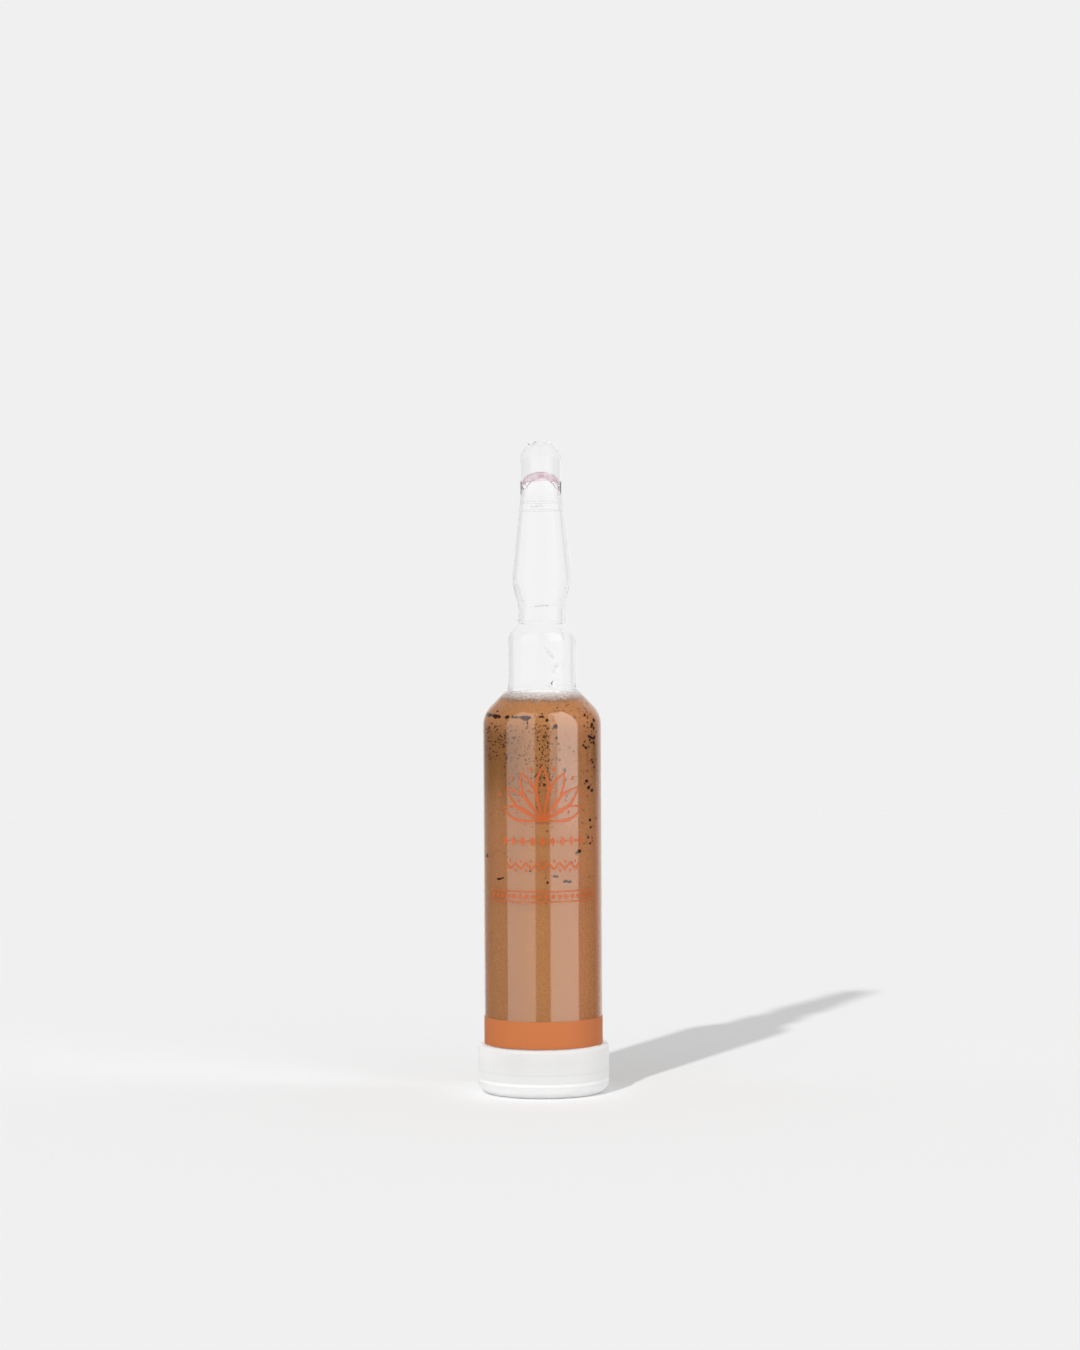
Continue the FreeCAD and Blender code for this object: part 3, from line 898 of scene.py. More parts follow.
froth_material, tree, shader = new_material("dried_froth", 0.8, specular=0.0)
_, own_y, own_z = own_axes(tree)
froth_grain = grain(tree, per_metre=3400.0, contrast=2.0)
froth_runs = streaks(tree, per_metre=420.0, amount=0.5)
uneven_z = math_node(tree, "MULTIPLY_ADD", froth_grain, FROTH_WAVER, own_z)
height_share = ramp(tree, uneven_z, FROTH_PALES_FROM, FROTH_PALE)
colour_by(tree, shader, height_share, shown(172, 154, 142), shown(230, 229, 228))
opens = ramp(tree, uneven_z, FROTH_STARTS, FROTH_FULL)
reach = math_node(tree, "MULTIPLY_ADD", froth_runs, FROTH_RUN, FROTH_FADES_FROM)
closes = ramp(tree, own_z, reach, math_node(tree, "ADD", reach, FROTH_FADE), 1.0, 0.0)
broken = ramp(tree, froth_grain, 0.1, 0.9, FROTH_THINNEST, 1.0)
in_front = ramp(tree, own_y, -FRONT_EDGE, FRONT_EDGE, 1.0, 0.0)
feed(tree, times(tree, opens, closes, broken, in_front), shader.inputs["Alpha"])
print("froth starts at", round(FROTH_STARTS, 5), "and fades from", round(FROTH_FADES_FROM, 5))

# %% Froth above the mud
FROTH_DOWN = 0.8 * MM
FROTH_UP = 1.9 * MM
FROTH_OVERLAP = 0.03 * MM
FROTH_THICKNESS = 0.03 * MM
FROTH_STEPS = 16


def wall_skin(heights, overlap, thickness):
    """Returns the closed profile of a thin skin that hugs the inner wall at these heights."""
    skin = [Vector((cavity_radius(height) + overlap, height)) for height in heights]
    return skin + [Vector((point.x - thickness, point.y)) for point in reversed(skin)]


froth_foot = FILL_LEVEL - FROTH_DOWN
heights = [froth_foot + (FROTH_DOWN + FROTH_UP) * share for share in even_shares(FROTH_STEPS)]
skin = wall_skin(heights, FROTH_OVERLAP, FROTH_THICKNESS)
add_piece("dried_froth", turn(skin, closed=True), [froth_material])

# %% [markdown]
# Dark specks lie against the wall: a broken crust where the shoulder starts, a trail of round ones below it,
# a cluster on the right, and a dusting of fine ones. They could be dots in the colour, but real little lumps
# keep their crisp edges close up and in the mesh. Seen through the glass everything on the wall
# looks shifted a little outwards, so each lump is placed by how far across it appears from the front.

# %% Speck material
speck_material, tree, shader = new_material("dark_speck", 0.6, specular=0.0)
speck_grain = grain(tree, per_metre=9000.0, contrast=1.2)
colour_by(tree, shader, speck_grain, shown(34, 16, 14), shown(62, 32, 26))

# %% Where the specks lie
LUMPS = [
    # how far across it appears, height, width and height of the lump, all in millimetres
    (-8.6, 57.0, 0.25, 0.5), (-8.35, 57.0, 0.3, 0.6), (-8.0, 56.95, 0.35, 0.6), (-7.7, 57.0, 0.25, 0.5),
    (-7.25, 57.0, 0.4, 0.6), (-6.95, 56.9, 0.45, 0.75), (-6.65, 57.0, 0.4, 0.6), (-6.35, 56.95, 0.35, 0.55),
    (-6.75, 57.6, 0.3, 0.3), (-5.25, 57.0, 0.55, 0.55), (-4.9, 57.05, 0.2, 0.2), (-4.4, 57.05, 0.35, 0.45),
    (-4.1, 57.0, 0.3, 0.4), (-3.75, 57.05, 0.35, 0.45), (-3.3, 57.05, 0.3, 0.35), (-2.95, 57.0, 0.5, 0.65),
    (-2.55, 56.95, 0.6, 0.8), (-2.15, 56.95, 0.5, 0.75), (-1.8, 57.05, 0.35, 0.4), (-2.2, 56.35, 0.3, 0.5),
    (-1.0, 57.3, 0.3, 0.3), (-0.3, 57.15, 0.35, 0.35), (0.0, 57.2, 0.4, 0.35), (0.2, 57.1, 0.25, 0.25),
    (0.0, 57.55, 0.3, 0.25), (0.75, 56.7, 0.5, 0.5), (2.0, 55.8, 0.7, 0.7),
    (7.75, 56.3, 0.3, 0.6), (7.45, 55.7, 0.35, 0.7), (7.7, 55.2, 0.3, 0.5), (7.3, 55.4, 0.25, 0.35),
    (6.95, 54.1, 0.35, 0.4), (7.2, 53.9, 0.4, 0.5), (7.5, 53.7, 0.35, 0.45), (7.8, 53.8, 0.3, 0.7),
    (7.1, 53.5, 0.3, 0.35), (7.65, 53.1, 0.3, 0.45), (6.15, 52.8, 0.35, 0.35), (6.3, 53.3, 0.25, 0.25),
    (6.55, 52.4, 0.4, 0.4), (7.3, 53.1, 0.3, 0.3), (7.4, 50.5, 0.3, 0.35),
    (2.15, 54.1, 0.4, 0.45), (2.45, 53.2, 0.4, 0.4),
    (2.6, 52.3, 0.35, 0.4), (2.6, 50.8, 0.4, 0.4), (3.3, 49.3, 0.45, 0.5), (3.5, 47.8, 0.35, 0.4),
    (3.6, 46.1, 0.4, 0.4), (3.65, 45.4, 0.35, 0.4), (4.0, 52.6, 0.35, 0.35), (4.7, 52.0, 0.3, 0.35),
    (2.3, 58.3, 0.3, 0.3), (3.8, 58.6, 0.25, 0.25), (6.4, 57.1, 0.4, 0.4), (7.5, 50.1, 0.3, 0.35),
    (6.6, 47.4, 0.5, 0.55), (6.9, 46.4, 0.5, 0.6), (7.4, 45.9, 0.4, 0.5), (7.1, 41.5, 0.35, 0.5),
    (7.2, 40.4, 0.3, 0.4), (6.8, 38.9, 0.3, 0.35), (7.1, 38.0, 0.3, 0.35), (5.4, 37.0, 0.75, 0.55),
    (5.0, 36.7, 0.4, 0.4), (4.2, 35.3, 0.75, 0.5), (-1.9, 34.2, 0.35, 0.4), (1.9, 33.4, 0.9, 0.4),
    (3.4, 32.6, 0.8, 0.45), (4.0, 32.5, 0.6, 0.45), (-6.5, 32.8, 0.7, 0.35), (-6.0, 33.0, 0.4, 0.3),
    (0.7, 32.5, 0.4, 0.4), (-8.3, 36.0, 0.3, 0.6),
]
SCATTERS = [
    # count, appears across from and to, height from and to, size from and to, in millimetres
    (14, 6.2, 8.2, 52.3, 56.2, 0.15, 0.3),
    (24, 5.4, 8.4, 38.0, 51.0, 0.15, 0.3),
    (190, -5.6, 1.6, 45.5, 56.2, 0.17, 0.3),
    (80, -8.4, -5.0, 50.5, 56.0, 0.16, 0.28),
    (60, -0.9, 1.3, 46.0, 56.0, 0.16, 0.3),
    (40, -3.0, 5.2, 40.0, 56.0, 0.15, 0.3),
    (50, 1.5, 7.5, 56.6, 58.8, 0.1, 0.24),
    (40, -7.9, 7.9, 26.0, 44.0, 0.1, 0.22),
    (30, -7.9, 7.9, 12.5, 27.0, 0.07, 0.14),
]
print(len(LUMPS), "specks are placed one by one and", sum(row[0] for row in SCATTERS), "are strewn")

# %% Specks on the wall
LUMP_THICKNESS = 0.1 * MM
WIDEST_SEEN = 0.97
LEAN_REACH = 0.2 * MM
LEAST_FACING = 0.35
LUMP_UNEVENNESS = 0.35
LUMP_BUMPS = 2.2
LUMP_VARIETY = 900


def azimuth_seen_at(across, outer, inner):
    """Returns the azimuth of a point on the inner wall that the front view shows at a distance across."""
    entry = math.asin(across / outer)
    bend = math.asin(across / (GLASS_IOR * inner)) - math.asin(across / (GLASS_IOR * outer))
    return entry + bend


def wall_seat(radius, azimuth, height, lean=0.0):
    """Returns the matrix that brings a small shape from the origin to the wall, facing as the wall does."""
    turned = Matrix.Rotation(azimuth, 4, "Z") @ Matrix.Rotation(-lean, 4, "X")
    return Matrix.Translation(on_circle(radius, azimuth, height)) @ turned


def add_lump(shape, across, height, width, tall, fineness):
    """Adds one flattened lump to the wall, where it appears at a distance across the front."""
    radius = cavity_radius(height) + MUD_OVERLAP
    outer = radius_at(OUTSIDE, height)
    widest = WIDEST_SEEN * outer
    azimuth = azimuth_seen_at(max(-widest, min(widest, across)), outer, radius)
    narrowing = cavity_radius(height - LEAN_REACH) - cavity_radius(height + LEAN_REACH)
    seat = wall_seat(radius, azimuth, height, math.atan2(narrowing, 2 * LEAN_REACH))
    size = Matrix.Diagonal((width / max(LEAST_FACING, math.cos(azimuth)), LUMP_THICKNESS, tall, 1.0))
    own_shift = Vector((across, height, 0)) * LUMP_VARIETY
    for vertex in bmesh.ops.create_icosphere(shape, subdivisions=fineness, radius=0.5)["verts"]:
        uneven = 1 + LUMP_UNEVENNESS * noise.noise(vertex.co * LUMP_BUMPS + own_shift)
        vertex.co = seat @ size @ (vertex.co * uneven)


draw = random.Random(7)
shape = bmesh.new()
for across, height, width, tall in LUMPS:
    add_lump(shape, across * MM, height * MM, width * MM, tall * MM, 2)
for count, across_from, across_to, low, high, small, large in SCATTERS:
    for _ in range(count):
        size = draw.uniform(small, large) * MM
        across = draw.uniform(across_from, across_to) * MM
        add_lump(shape, across, draw.uniform(low, high) * MM, size, size * draw.uniform(0.8, 1.2), 1)
add_piece("dark_specks", shape, [speck_material])

# %% [markdown]
# The ring of fired ink above the cap is matt and a little uneven, with soft edges from the brush of the
# marking wheel. It is turned like the rest, a few hundredths of a millimetre proud of the glass.

# %% Ink
INK_COLOUR = shown(182, 105, 58)
INK_THIN_COLOUR = shown(187, 116, 70)
MOST_THINNED = 0.5

ink_material, tree, shader = new_material("orange_ink", 0.6, specular=0.25)
ink_grain = grain(tree, per_metre=4200.0, contrast=0.9)
ink_runs = streaks(tree, per_metre=500.0, amount=0.35)
thin = times(tree, ink_runs, MOST_THINNED)
colour_by(tree, shader, thin, INK_COLOUR, INK_THIN_COLOUR)
feed(tree, by_grain(tree, ink_grain, 0.52, 0.68), shader.inputs["Roughness"])
bump(tree, shader, ink_grain, 0.01 * MM, 0.5)

# %% Ring of ink
RING_RADIUS = ring_high.x
RING_SINK = 0.01 * MM
RING_FOOT = TUBE_END + 3.85 * MM
RING_TOP = ring_high.z
RING_ROUNDING = 0.02 * MM
RING_SPACING = 0.4 * MM
RING_WAVER = 0.05 * MM
WAVERS_PER_METRE = 350
WAVER_SHARPNESS = 8

ring_profile = rounded([
    (BODY_RADIUS - RING_SINK, RING_FOOT, 0.0),
    (RING_RADIUS, RING_FOOT, RING_ROUNDING),
    (RING_RADIUS, RING_TOP, RING_ROUNDING),
    (BODY_RADIUS - RING_SINK, RING_TOP, 0.0),
])
shape = turn(refined(ring_profile, RING_SPACING), closed=True)
for vertex in shape.verts:
    waver = noise.noise(Vector((vertex.co.x, vertex.co.y, 0.0)) * WAVERS_PER_METRE) * RING_WAVER
    share = max(0.0, (vertex.co.z - RING_FOOT) / (RING_TOP - RING_FOOT))
    vertex.co.z += waver * share ** WAVER_SHARPNESS
add_piece("ink_ring", shape, [ink_material], "enamel_band")

# %% [markdown]
# The front of the barrel carries a printed ornament in a denser, glossier coat of the same ink: a palmette
# of seven open petals with beads between their tips, a row of lozenges, a zigzag with a bead in each bay,
# and beads between thin rules. Every mark is one stroke on the unrolled wall, a path with a width at each
# point, wrapped back onto the cylinder. That keeps the ink a true layer, thin and closed, and one small
# function draws it all.

# %% Ink of the ornament
print_material, tree, shader = new_material("ornament_ink", 0.3, specular=0.35)
print_grain = grain(tree, per_metre=5200.0, contrast=0.9)
colour_by(tree, shader, print_grain, shown(178, 83, 34), shown(186, 91, 38))
print("ink of the ornament:", print_material.name)

# %% Strokes of ink on the wall
INK_LAYER = 0.03 * MM
INK_SINK = 0.008 * MM
THINNEST_STROKE = 0.02 * MM
STROKE_SPACING = 0.2 * MM
MARK_STEPS = 8
PETAL_STEPS = 16
PETAL_FULLNESS = 1.35
PETAL_THIN = 0.16 * MM
PETAL_THICK = 0.44 * MM


def wrap(across, height, layer):
    """Returns the point of the wall at an arc length across the front and a height."""
    return on_circle(BODY_RADIUS + layer, across / BODY_RADIUS, height)


def stroke(shape, path, widths, wrapped=wrap, proud=INK_LAYER, sunk=-INK_SINK):
    """Draws a closed thin layer along a path of (across, height) points, from sunk to proud of the wall."""
    sections = []
    count = len(path)
    for index, (point, width) in enumerate(zip(path, widths)):
        before = path[max(0, index - 1)]
        after = path[min(count - 1, index + 1)]
        run = (after - before).normalized()
        side = Vector((-run.y, run.x)) * max(width, THINNEST_STROKE) / 2
        left, right = point + side, point - side
        section = [
            wrapped(left.x, left.y, proud),
            wrapped(right.x, right.y, proud),
            wrapped(right.x, right.y, sunk),
            wrapped(left.x, left.y, sunk),
        ]
        sections.append([shape.verts.new(place) for place in section])
    for near, far in zip(sections, sections[1:]):
        for corner in range(4):
            after = (corner + 1) % 4
            shape.faces.new((near[corner], near[after], far[after], far[corner]))
    shape.faces.new(sections[0])
    shape.faces.new(reversed(sections[-1]))


def heading_vector(heading):
    """Returns a step of length 1 on the unrolled wall. Heading 0 points right, a quarter turn points up."""
    return Vector((math.cos(heading), math.sin(heading)))


def lozenge(shape, across, height, width, tall):
    """Draws a lozenge as one stroke that swells and thins."""
    shares = even_shares(MARK_STEPS)
    path = [Vector((across + width * (share - 0.5), height)) for share in shares]
    stroke(shape, path, [tall * (1 - abs(2 * share - 1)) for share in shares])


def bead(shape, across, height, size):
    """Draws a round dot as one stroke."""
    turns = [math.pi * share for share in even_shares(MARK_STEPS)]
    path = [Vector((across - size / 2 * math.cos(angle), height)) for angle in turns]
    stroke(shape, path, [size * math.sin(angle) for angle in turns])


def bow(share):
    """Returns how far out a petal's side stands along its length, widest beyond the middle."""
    return math.sin(math.pi * share ** PETAL_FULLNESS)


def petal(shape, foot, heading, length, width):
    """Draws an open petal: two bowed strokes, thick in the middle, that meet at its foot and its tip."""
    along = heading_vector(heading)
    across = Vector((-along.y, along.x))
    shares = even_shares(PETAL_STEPS)
    widths = [PETAL_THIN + (PETAL_THICK - PETAL_THIN) * math.sin(math.pi * share) for share in shares]
    for side in (-1, 1):
        path = [foot + along * length * share + across * side * bow(share) * width / 2 for share in shares]
        stroke(shape, path, widths)


print("a stroke of ink stands", INK_LAYER / MM, "mm proud of the glass")

# %% Sizes of the ornament
PALMETTE_FOOT = Vector((0.0, 41.7)) * MM
PETALS_EACH_SIDE = 3
PETAL_STEP = math.radians(24.5)
PETAL_LENGTH = 8.2 * MM
PETAL_WIDTH = 1.9 * MM
PETAL_SHORTENING = 0.02
PETAL_EYE = 0.5 * MM
PETAL_EYE_AT = 0.62
TIP_BEAD = 0.5 * MM
TIP_BEAD_AT = 0.97
LOZENGES_EACH_SIDE = 4
LOZENGE_ROW_HEIGHT = 38.7 * MM
LOZENGE_STEP = 1.5 * MM
LOZENGE_WIDTH, LOZENGE_HEIGHT = 0.9 * MM, 1.5 * MM
LOZENGE_BEAD = 0.34 * MM
ZIGZAG_TURNS_EACH_SIDE = 7
ZIGZAG_HEIGHT = 35.0 * MM
ZIGZAG_STEP = 0.85 * MM
ZIGZAG_RISE = 0.95 * MM
ZIGZAG_WIDTH = 0.3 * MM
ZIGZAG_BEAD = 0.38 * MM
ZIGZAG_BEAD_AT = 0.75
BEAD_ROW_HEIGHT = 30.4 * MM
BEADS_IN_ROW = 18
BEAD_STEP = 1.02 * MM
BEAD = 0.66 * MM
RULE = 0.2 * MM
RULE_HALF = 9.2 * MM
RULE_OFFSET = 0.78 * MM
RULE_STEPS = 60
print("the ornament reaches from", BEAD_ROW_HEIGHT - RULE_OFFSET, "to", PALMETTE_FOOT.y + PETAL_LENGTH)

# %% Printed ornament
shape = bmesh.new()
for place in range(-PETALS_EACH_SIDE, PETALS_EACH_SIDE + 1):
    heading = math.radians(90) - place * PETAL_STEP
    length = PETAL_LENGTH * (1 - PETAL_SHORTENING * place ** 2)
    petal(shape, PALMETTE_FOOT, heading, length, PETAL_WIDTH)
    spot = PALMETTE_FOOT + heading_vector(heading) * length * PETAL_EYE_AT
    lozenge(shape, spot.x, spot.y, PETAL_EYE, PETAL_EYE)
for place in range(-PETALS_EACH_SIDE, PETALS_EACH_SIDE):
    heading = math.radians(90) - (place + 0.5) * PETAL_STEP
    spot = PALMETTE_FOOT + heading_vector(heading) * PETAL_LENGTH * TIP_BEAD_AT
    bead(shape, spot.x, spot.y, TIP_BEAD)
for place in range(-LOZENGES_EACH_SIDE, LOZENGES_EACH_SIDE + 1):
    lozenge(shape, place * LOZENGE_STEP, LOZENGE_ROW_HEIGHT, LOZENGE_WIDTH, LOZENGE_HEIGHT)
    if place < LOZENGES_EACH_SIDE:
        bead(shape, (place + 0.5) * LOZENGE_STEP, LOZENGE_ROW_HEIGHT, LOZENGE_BEAD)
zigzag = []
for place in range(-ZIGZAG_TURNS_EACH_SIDE, ZIGZAG_TURNS_EACH_SIDE + 1):
    up = ZIGZAG_RISE if place % 2 else -ZIGZAG_RISE
    zigzag.append(Vector((place * ZIGZAG_STEP, ZIGZAG_HEIGHT + up / 2)))
    bead(shape, place * ZIGZAG_STEP, ZIGZAG_HEIGHT - up * ZIGZAG_BEAD_AT, ZIGZAG_BEAD)
zigzag = refined(zigzag, STROKE_SPACING)
stroke(shape, zigzag, [ZIGZAG_WIDTH] * len(zigzag))
for height in (BEAD_ROW_HEIGHT - RULE_OFFSET, BEAD_ROW_HEIGHT + RULE_OFFSET):
    rule = [Vector((RULE_HALF * (2 * share - 1), height)) for share in even_shares(RULE_STEPS)]
    stroke(shape, rule, [RULE] * len(rule))
for place in range(BEADS_IN_ROW):
    bead(shape, (place - (BEADS_IN_ROW - 1) / 2) * BEAD_STEP, BEAD_ROW_HEIGHT, BEAD)
bmesh.ops.recalc_face_normals(shape, faces=shape.faces)
ornament = add_piece("printed_ornament", shape, [print_material])
ornament.visible_shadow = False

# %% [markdown]
# The foot cap is a soft, milky moulding. Light goes into it and comes out blurred, so its edges look
# lighter than its middle and the tube's end is only guessed at inside. Subsurface scattering gives that
# depth. Its rim and foot are rounded as a mould leaves them, and a groove runs round it. On top of that,
# the tube's end is a faint painted shade, the foot is painted lighter as painted light, and a near-white
# painted highlight runs along the groove's lower edge.

# %% Cap sizes
CAP_RADIUS = cap_high.x
SKIRT_WALL = 0.93 * MM
SOCKET = CAP_RADIUS - SKIRT_WALL
SKIRT_RIM = TUBE_END + 3.8 * MM
GROOVE_FOOT = 2.0 * MM
GROOVE_HEIGHT = 0.4 * MM
GROOVE_DEPTH = 0.16 * MM
GROOVE_LEDGE = 0.1 * MM
GROOVE_DEEPEST = 0.8
PLUG_TOP = cap_high.z
PLUG_RADIUS = BODY_BORE - 0.02 * MM
PLUG_RELIEF = 0.23 * MM
LEAD_IN_FOOT, LEAD_IN_TOP = PLUG_TOP - 1.13 * MM, PLUG_TOP - 0.9 * MM
CORE_RADIUS = PLUG_RADIUS - PLUG_RELIEF - 1.6 * MM
CORE_ROOF = PLUG_TOP - 1.2 * MM
print("cap radius", CAP_RADIUS, "plug top", PLUG_TOP)

# %% Cap plastic
PAINTED_LIGHT_FOOT_FULL, PAINTED_LIGHT_FOOT_END = 0.7 * MM, 1.8 * MM
TUBE_END_SHADE_HALF = 0.25 * MM
TUBE_END_SHADE_SOFTNESS = 0.2 * MM
TUBE_END_SHADE_SHARE = 0.15
GROOVE_HIGHLIGHT_BELOW = 0.2 * MM
GROOVE_HIGHLIGHT_SOFTNESS = 0.12 * MM

cap_material, tree, shader = new_material("milky_plastic", 0.5, 1.5, 0.2)
own_height = own_axes(tree)[2]
cap_grain = grain(tree, per_metre=2500.0, contrast=0.8)
plain = mix_colours(tree, cap_grain, shown(230, 230, 229), shown(235, 235, 234))
# The foot is painted lighter: painted light against the shade where it meets the floor.
painted_light_foot = ramp(tree, own_height, PAINTED_LIGHT_FOOT_FULL, PAINTED_LIGHT_FOOT_END, 1.0, 0.0)
plain = mix_colours(tree, painted_light_foot, plain, shown(251, 250, 251))
# A faint grey ring is painted shade where the glass tube ends inside the cap.
shade_from, shade_to = TUBE_END - TUBE_END_SHADE_HALF, TUBE_END + TUBE_END_SHADE_HALF
painted_tube_end_shade = window(tree, own_height, shade_from, shade_to, TUBE_END_SHADE_SOFTNESS)
tube_end_shade_share = times(tree, painted_tube_end_shade, TUBE_END_SHADE_SHARE)
with_tube_end_shade = mix_colours(tree, tube_end_shade_share, plain, shown(205, 203, 203))
# A near-white band along the groove's lower edge is a painted highlight.
highlight_from, highlight_to = GROOVE_FOOT - GROOVE_HIGHLIGHT_BELOW, GROOVE_FOOT + GROOVE_HEIGHT
painted_groove_highlight = window(tree, own_height, highlight_from, highlight_to, GROOVE_HIGHLIGHT_SOFTNESS)
colour_by(tree, shader, painted_groove_highlight, with_tube_end_shade, shown(246, 246, 246))
feed(tree, by_grain(tree, cap_grain, 0.44, 0.56), shader.inputs["Roughness"])
shader.inputs["Subsurface Weight"].default_value = 1.0
shader.inputs["Subsurface Radius"].default_value = (1.0, 1.0, 1.0)
shader.inputs["Subsurface Scale"].default_value = 2.5 * MM
shader.inputs["Transmission Weight"].default_value = 0.2
bump(tree, shader, cap_grain, 0.01 * MM, 0.4)

# %% Cap
cap_profile = rounded([
    (0.0, CORE_ROOF, 0.0),
    (CORE_RADIUS, CORE_ROOF, 0.6 * MM),
    (CORE_RADIUS, 0.0, 0.3 * MM),
    (CAP_RADIUS, 0.0, 1.75 * MM),
    (CAP_RADIUS, GROOVE_FOOT - GROOVE_LEDGE, 0.1 * MM),
    (CAP_RADIUS - GROOVE_DEPTH, GROOVE_FOOT + GROOVE_HEIGHT * GROOVE_DEEPEST, 0.06 * MM),
    (CAP_RADIUS, GROOVE_FOOT + GROOVE_HEIGHT, 0.06 * MM),
    (CAP_RADIUS, SKIRT_RIM, 0.5 * MM),
    (SOCKET, SKIRT_RIM, 0.2 * MM),
    (SOCKET, TUBE_END, 0.0),
    (PLUG_RADIUS - PLUG_RELIEF, TUBE_END, 0.0),
    (PLUG_RADIUS - PLUG_RELIEF, LEAD_IN_FOOT, 0.0),
    (PLUG_RADIUS, LEAD_IN_TOP, 0.0),
    (PLUG_RADIUS, PLUG_TOP, 0.3 * MM),
    (0.0, PLUG_TOP, 0.0),
])
add_piece("foot_cap", turn(cap_profile), [cap_material], "base_cap")

# %% [markdown]
# The tip was sealed after filling, and a little of the contents dried in its dome: a mauve crescent on
# the front half, with a long run down the right side and a short one down the left. It wets the glass as
# the mud does, so it is a thin skin that follows the dome, its outer side a hair inside the glass.
# The runs are flat blobs in the same mesh. The film's near-white flecks are painted highlights.

# %% Film material
film_material, tree, shader = new_material("dried_film", 0.45, specular=0.3)
film_tone_and_highlight_grain = grain(tree, per_metre=1100.0, contrast=3.0)
fine_mask = grain(tree, per_metre=5200.0, contrast=1.6)
# The grain lays near-white flecks over the mauve: painted highlights.
pale = mix_colours(tree, film_tone_and_highlight_grain, shown(168, 134, 148), shown(244, 238, 240))
colour_by(tree, shader, fine_mask, pale, shown(208, 188, 196))

# %% Dried film in the tip
FILM_OVERLAP = 0.012 * MM
FILM_THICKNESS = 0.05 * MM
FILM_FRONT_FOOT = 92.15 * MM
FILM_SIDE_FOOT = 91.3 * MM
FILM_SIDE_SHARPNESS = 6
FILM_END = 0.25
FILM_BACK_FOOT = 93.3 * MM
FILM_STEPS = 22
OUTER_SKIN, INNER_SKIN = 1, 0
BLOB_THICKNESS = 0.12 * MM
FILM_BLOBS = [
    # how far across it appears, height, width and height of the blob, all in millimetres
    (2.8, 90.6, 0.5, 2.4),
    (-2.85, 90.65, 0.35, 1.7),
]


def film_point(share, skin, azimuth):
    """Returns the radius and height of a point of the film, at a share of its width and on one skin."""
    forward = math.cos(azimuth)
    if forward > 0:
        sideways = math.sin(azimuth) ** FILM_SIDE_SHARPNESS
        foot = FILM_FRONT_FOOT + (FILM_SIDE_FOOT - FILM_FRONT_FOOT) * sideways
    else:
        foot = FILM_SIDE_FOOT + (FILM_BACK_FOOT - FILM_SIDE_FOOT) * min(1.0, -forward / FILM_END)
    rim = cavity_radius(foot)
    if skin == OUTER_SKIN:
        return (rim + FILM_OVERLAP) * share, dome_height(rim * share) + FILM_OVERLAP
    return rim * share, dome_height(rim * share) - FILM_THICKNESS


shares = [math.sin(math.pi / 2 * share) for share in even_shares(FILM_STEPS)]
skins = [(share, OUTER_SKIN) for share in shares] + [(share, INNER_SKIN) for share in reversed(shares)]
shape = turn(skins, film_point, segments=FEW_SEGMENTS)
for across, height, width, tall in FILM_BLOBS:
    bore = cavity_radius(height * MM)
    azimuth = azimuth_seen_at(across * MM, TIP_RADIUS, bore)
    seat = wall_seat(bore, azimuth, height * MM)
    size = Matrix.Diagonal((width * MM, BLOB_THICKNESS, tall * MM, 1.0))
    for vertex in bmesh.ops.create_icosphere(shape, subdivisions=2, radius=0.5)["verts"]:
        vertex.co = seat @ size @ vertex.co
add_piece("dried_film", shape, [film_material])

# %% [markdown]
# Faint grey marks lie in the empty glass: two rings below the dome, a smear or two on the collar, a grey
# wedge above the neck, and a line in the score, which is painted shade: the dark line that the score shows.
# Each is a stroke like the ink's, but laid on the wall where it appears from the front, and so thin a veil
# that most of the light passes.

# %% Trace material
trace_and_shade_material, tree, shader = new_material("trace_and_painted_shade", 0.6, specular=0.0)
shader.inputs["Base Color"].default_value = shown(180, 166, 172)
trace_grain = grain(tree, per_metre=2600.0, contrast=1.8)
feed(tree, by_grain(tree, trace_grain, 0.03, 0.14), shader.inputs["Alpha"])

# %% Faint traces
TRACE_OVERLAP = 0.012 * MM
TRACE_THICKNESS = 0.02 * MM
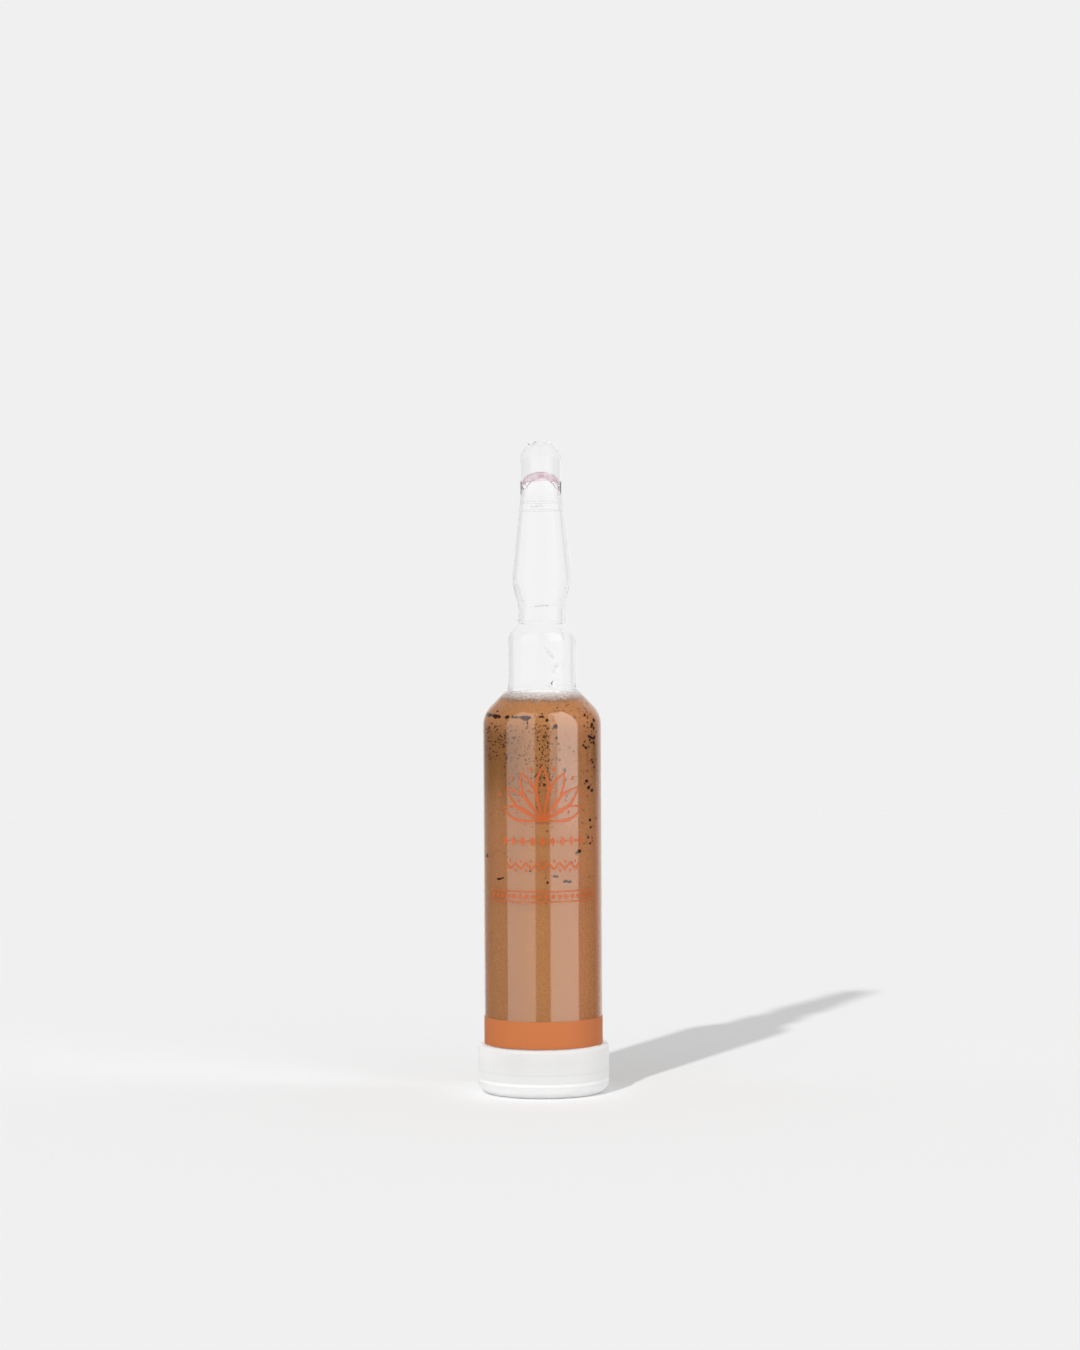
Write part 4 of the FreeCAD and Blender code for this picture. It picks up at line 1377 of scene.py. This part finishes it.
# The line in the score is painted shade.
SCORE_SHADE_LINE = [(-1.5, 73.5), (2.3, 73.77)]
SCORE_SHADE_WIDTH = 0.24 * MM
TRACES = [
    # points as (appears across, height), then the widths at the start, middle and end, in millimetres
    ([(2.3, 70.0), (2.9, 69.7), (3.2, 69.1), (3.35, 68.4)], (0.1, 0.3, 0.15)),
    ([(0.4, 67.4), (1.1, 66.6), (1.8, 65.7)], (0.2, 0.5, 0.3)),
    ([(1.0, 61.9), (1.15, 61.6), (1.5, 61.45)], (0.2, 0.4, 0.2)),
    ([(-0.8, 65.1), (-0.6, 65.1)], (0.15, 0.2, 0.15)),
    ([(-3.75, 76.8), (-3.4, 75.3), (-3.0, 74.0)], (0.2, 0.6, 1.0)),
    ([(-1.6, 88.3), (-0.6, 88.4), (0.5, 88.45)], (0.1, 0.45, 0.1)),
]


def wrap_inside(across, height, layer):
    """Returns the point of the inner wall that the front view shows at a distance across, and a height."""
    bore = cavity_radius(height)
    azimuth = azimuth_seen_at(across, radius_at(OUTSIDE, height), bore)
    return on_circle(bore + layer, azimuth, height)


def wrap_neck(across, height, layer):
    """Returns the point of the neck's outer wall at a distance across the front and a height."""
    return on_circle(NECK_RADIUS - SCORE_DEPTH / 2 + layer, math.asin(across / NECK_RADIUS), height)


shape = bmesh.new()
for points, (first, middle, last) in TRACES:
    path = refined([Vector(point) * MM for point in points], STROKE_SPACING)
    widths = []
    for share in even_shares(len(path) - 1):
        ends = first + (last - first) * share
        widths.append((ends + (middle - ends) * math.sin(math.pi * share)) * MM)
    stroke(shape, path, widths, wrap_inside, TRACE_OVERLAP, TRACE_OVERLAP - TRACE_THICKNESS)
# The grey line in the score is painted shade: the dark line the score shows.
path = refined([Vector(point) * MM for point in SCORE_SHADE_LINE], STROKE_SPACING)
widths = [SCORE_SHADE_WIDTH * math.sin(math.pi * share) for share in even_shares(len(path) - 1)]
stroke(shape, path, widths, wrap_neck, TRACE_THICKNESS / 2, -TRACE_THICKNESS / 2)
bmesh.ops.recalc_face_normals(shape, faces=shape.faces)
add_piece("traces_and_painted_score_shade", shape, [trace_and_shade_material])

# %% Grey rings below the dome
GREY_RINGS = {"upper_grey_ring": 88.8 * MM, "lower_grey_ring": 87.6 * MM}
GREY_RING_HEIGHT = 0.1 * MM

for name, height in GREY_RINGS.items():
    edges = (height - GREY_RING_HEIGHT / 2, height + GREY_RING_HEIGHT / 2)
    skin = wall_skin(edges, TRACE_OVERLAP, TRACE_THICKNESS)
    add_piece(name, turn(skin, closed=True, segments=FEW_SEGMENTS), [trace_and_shade_material])
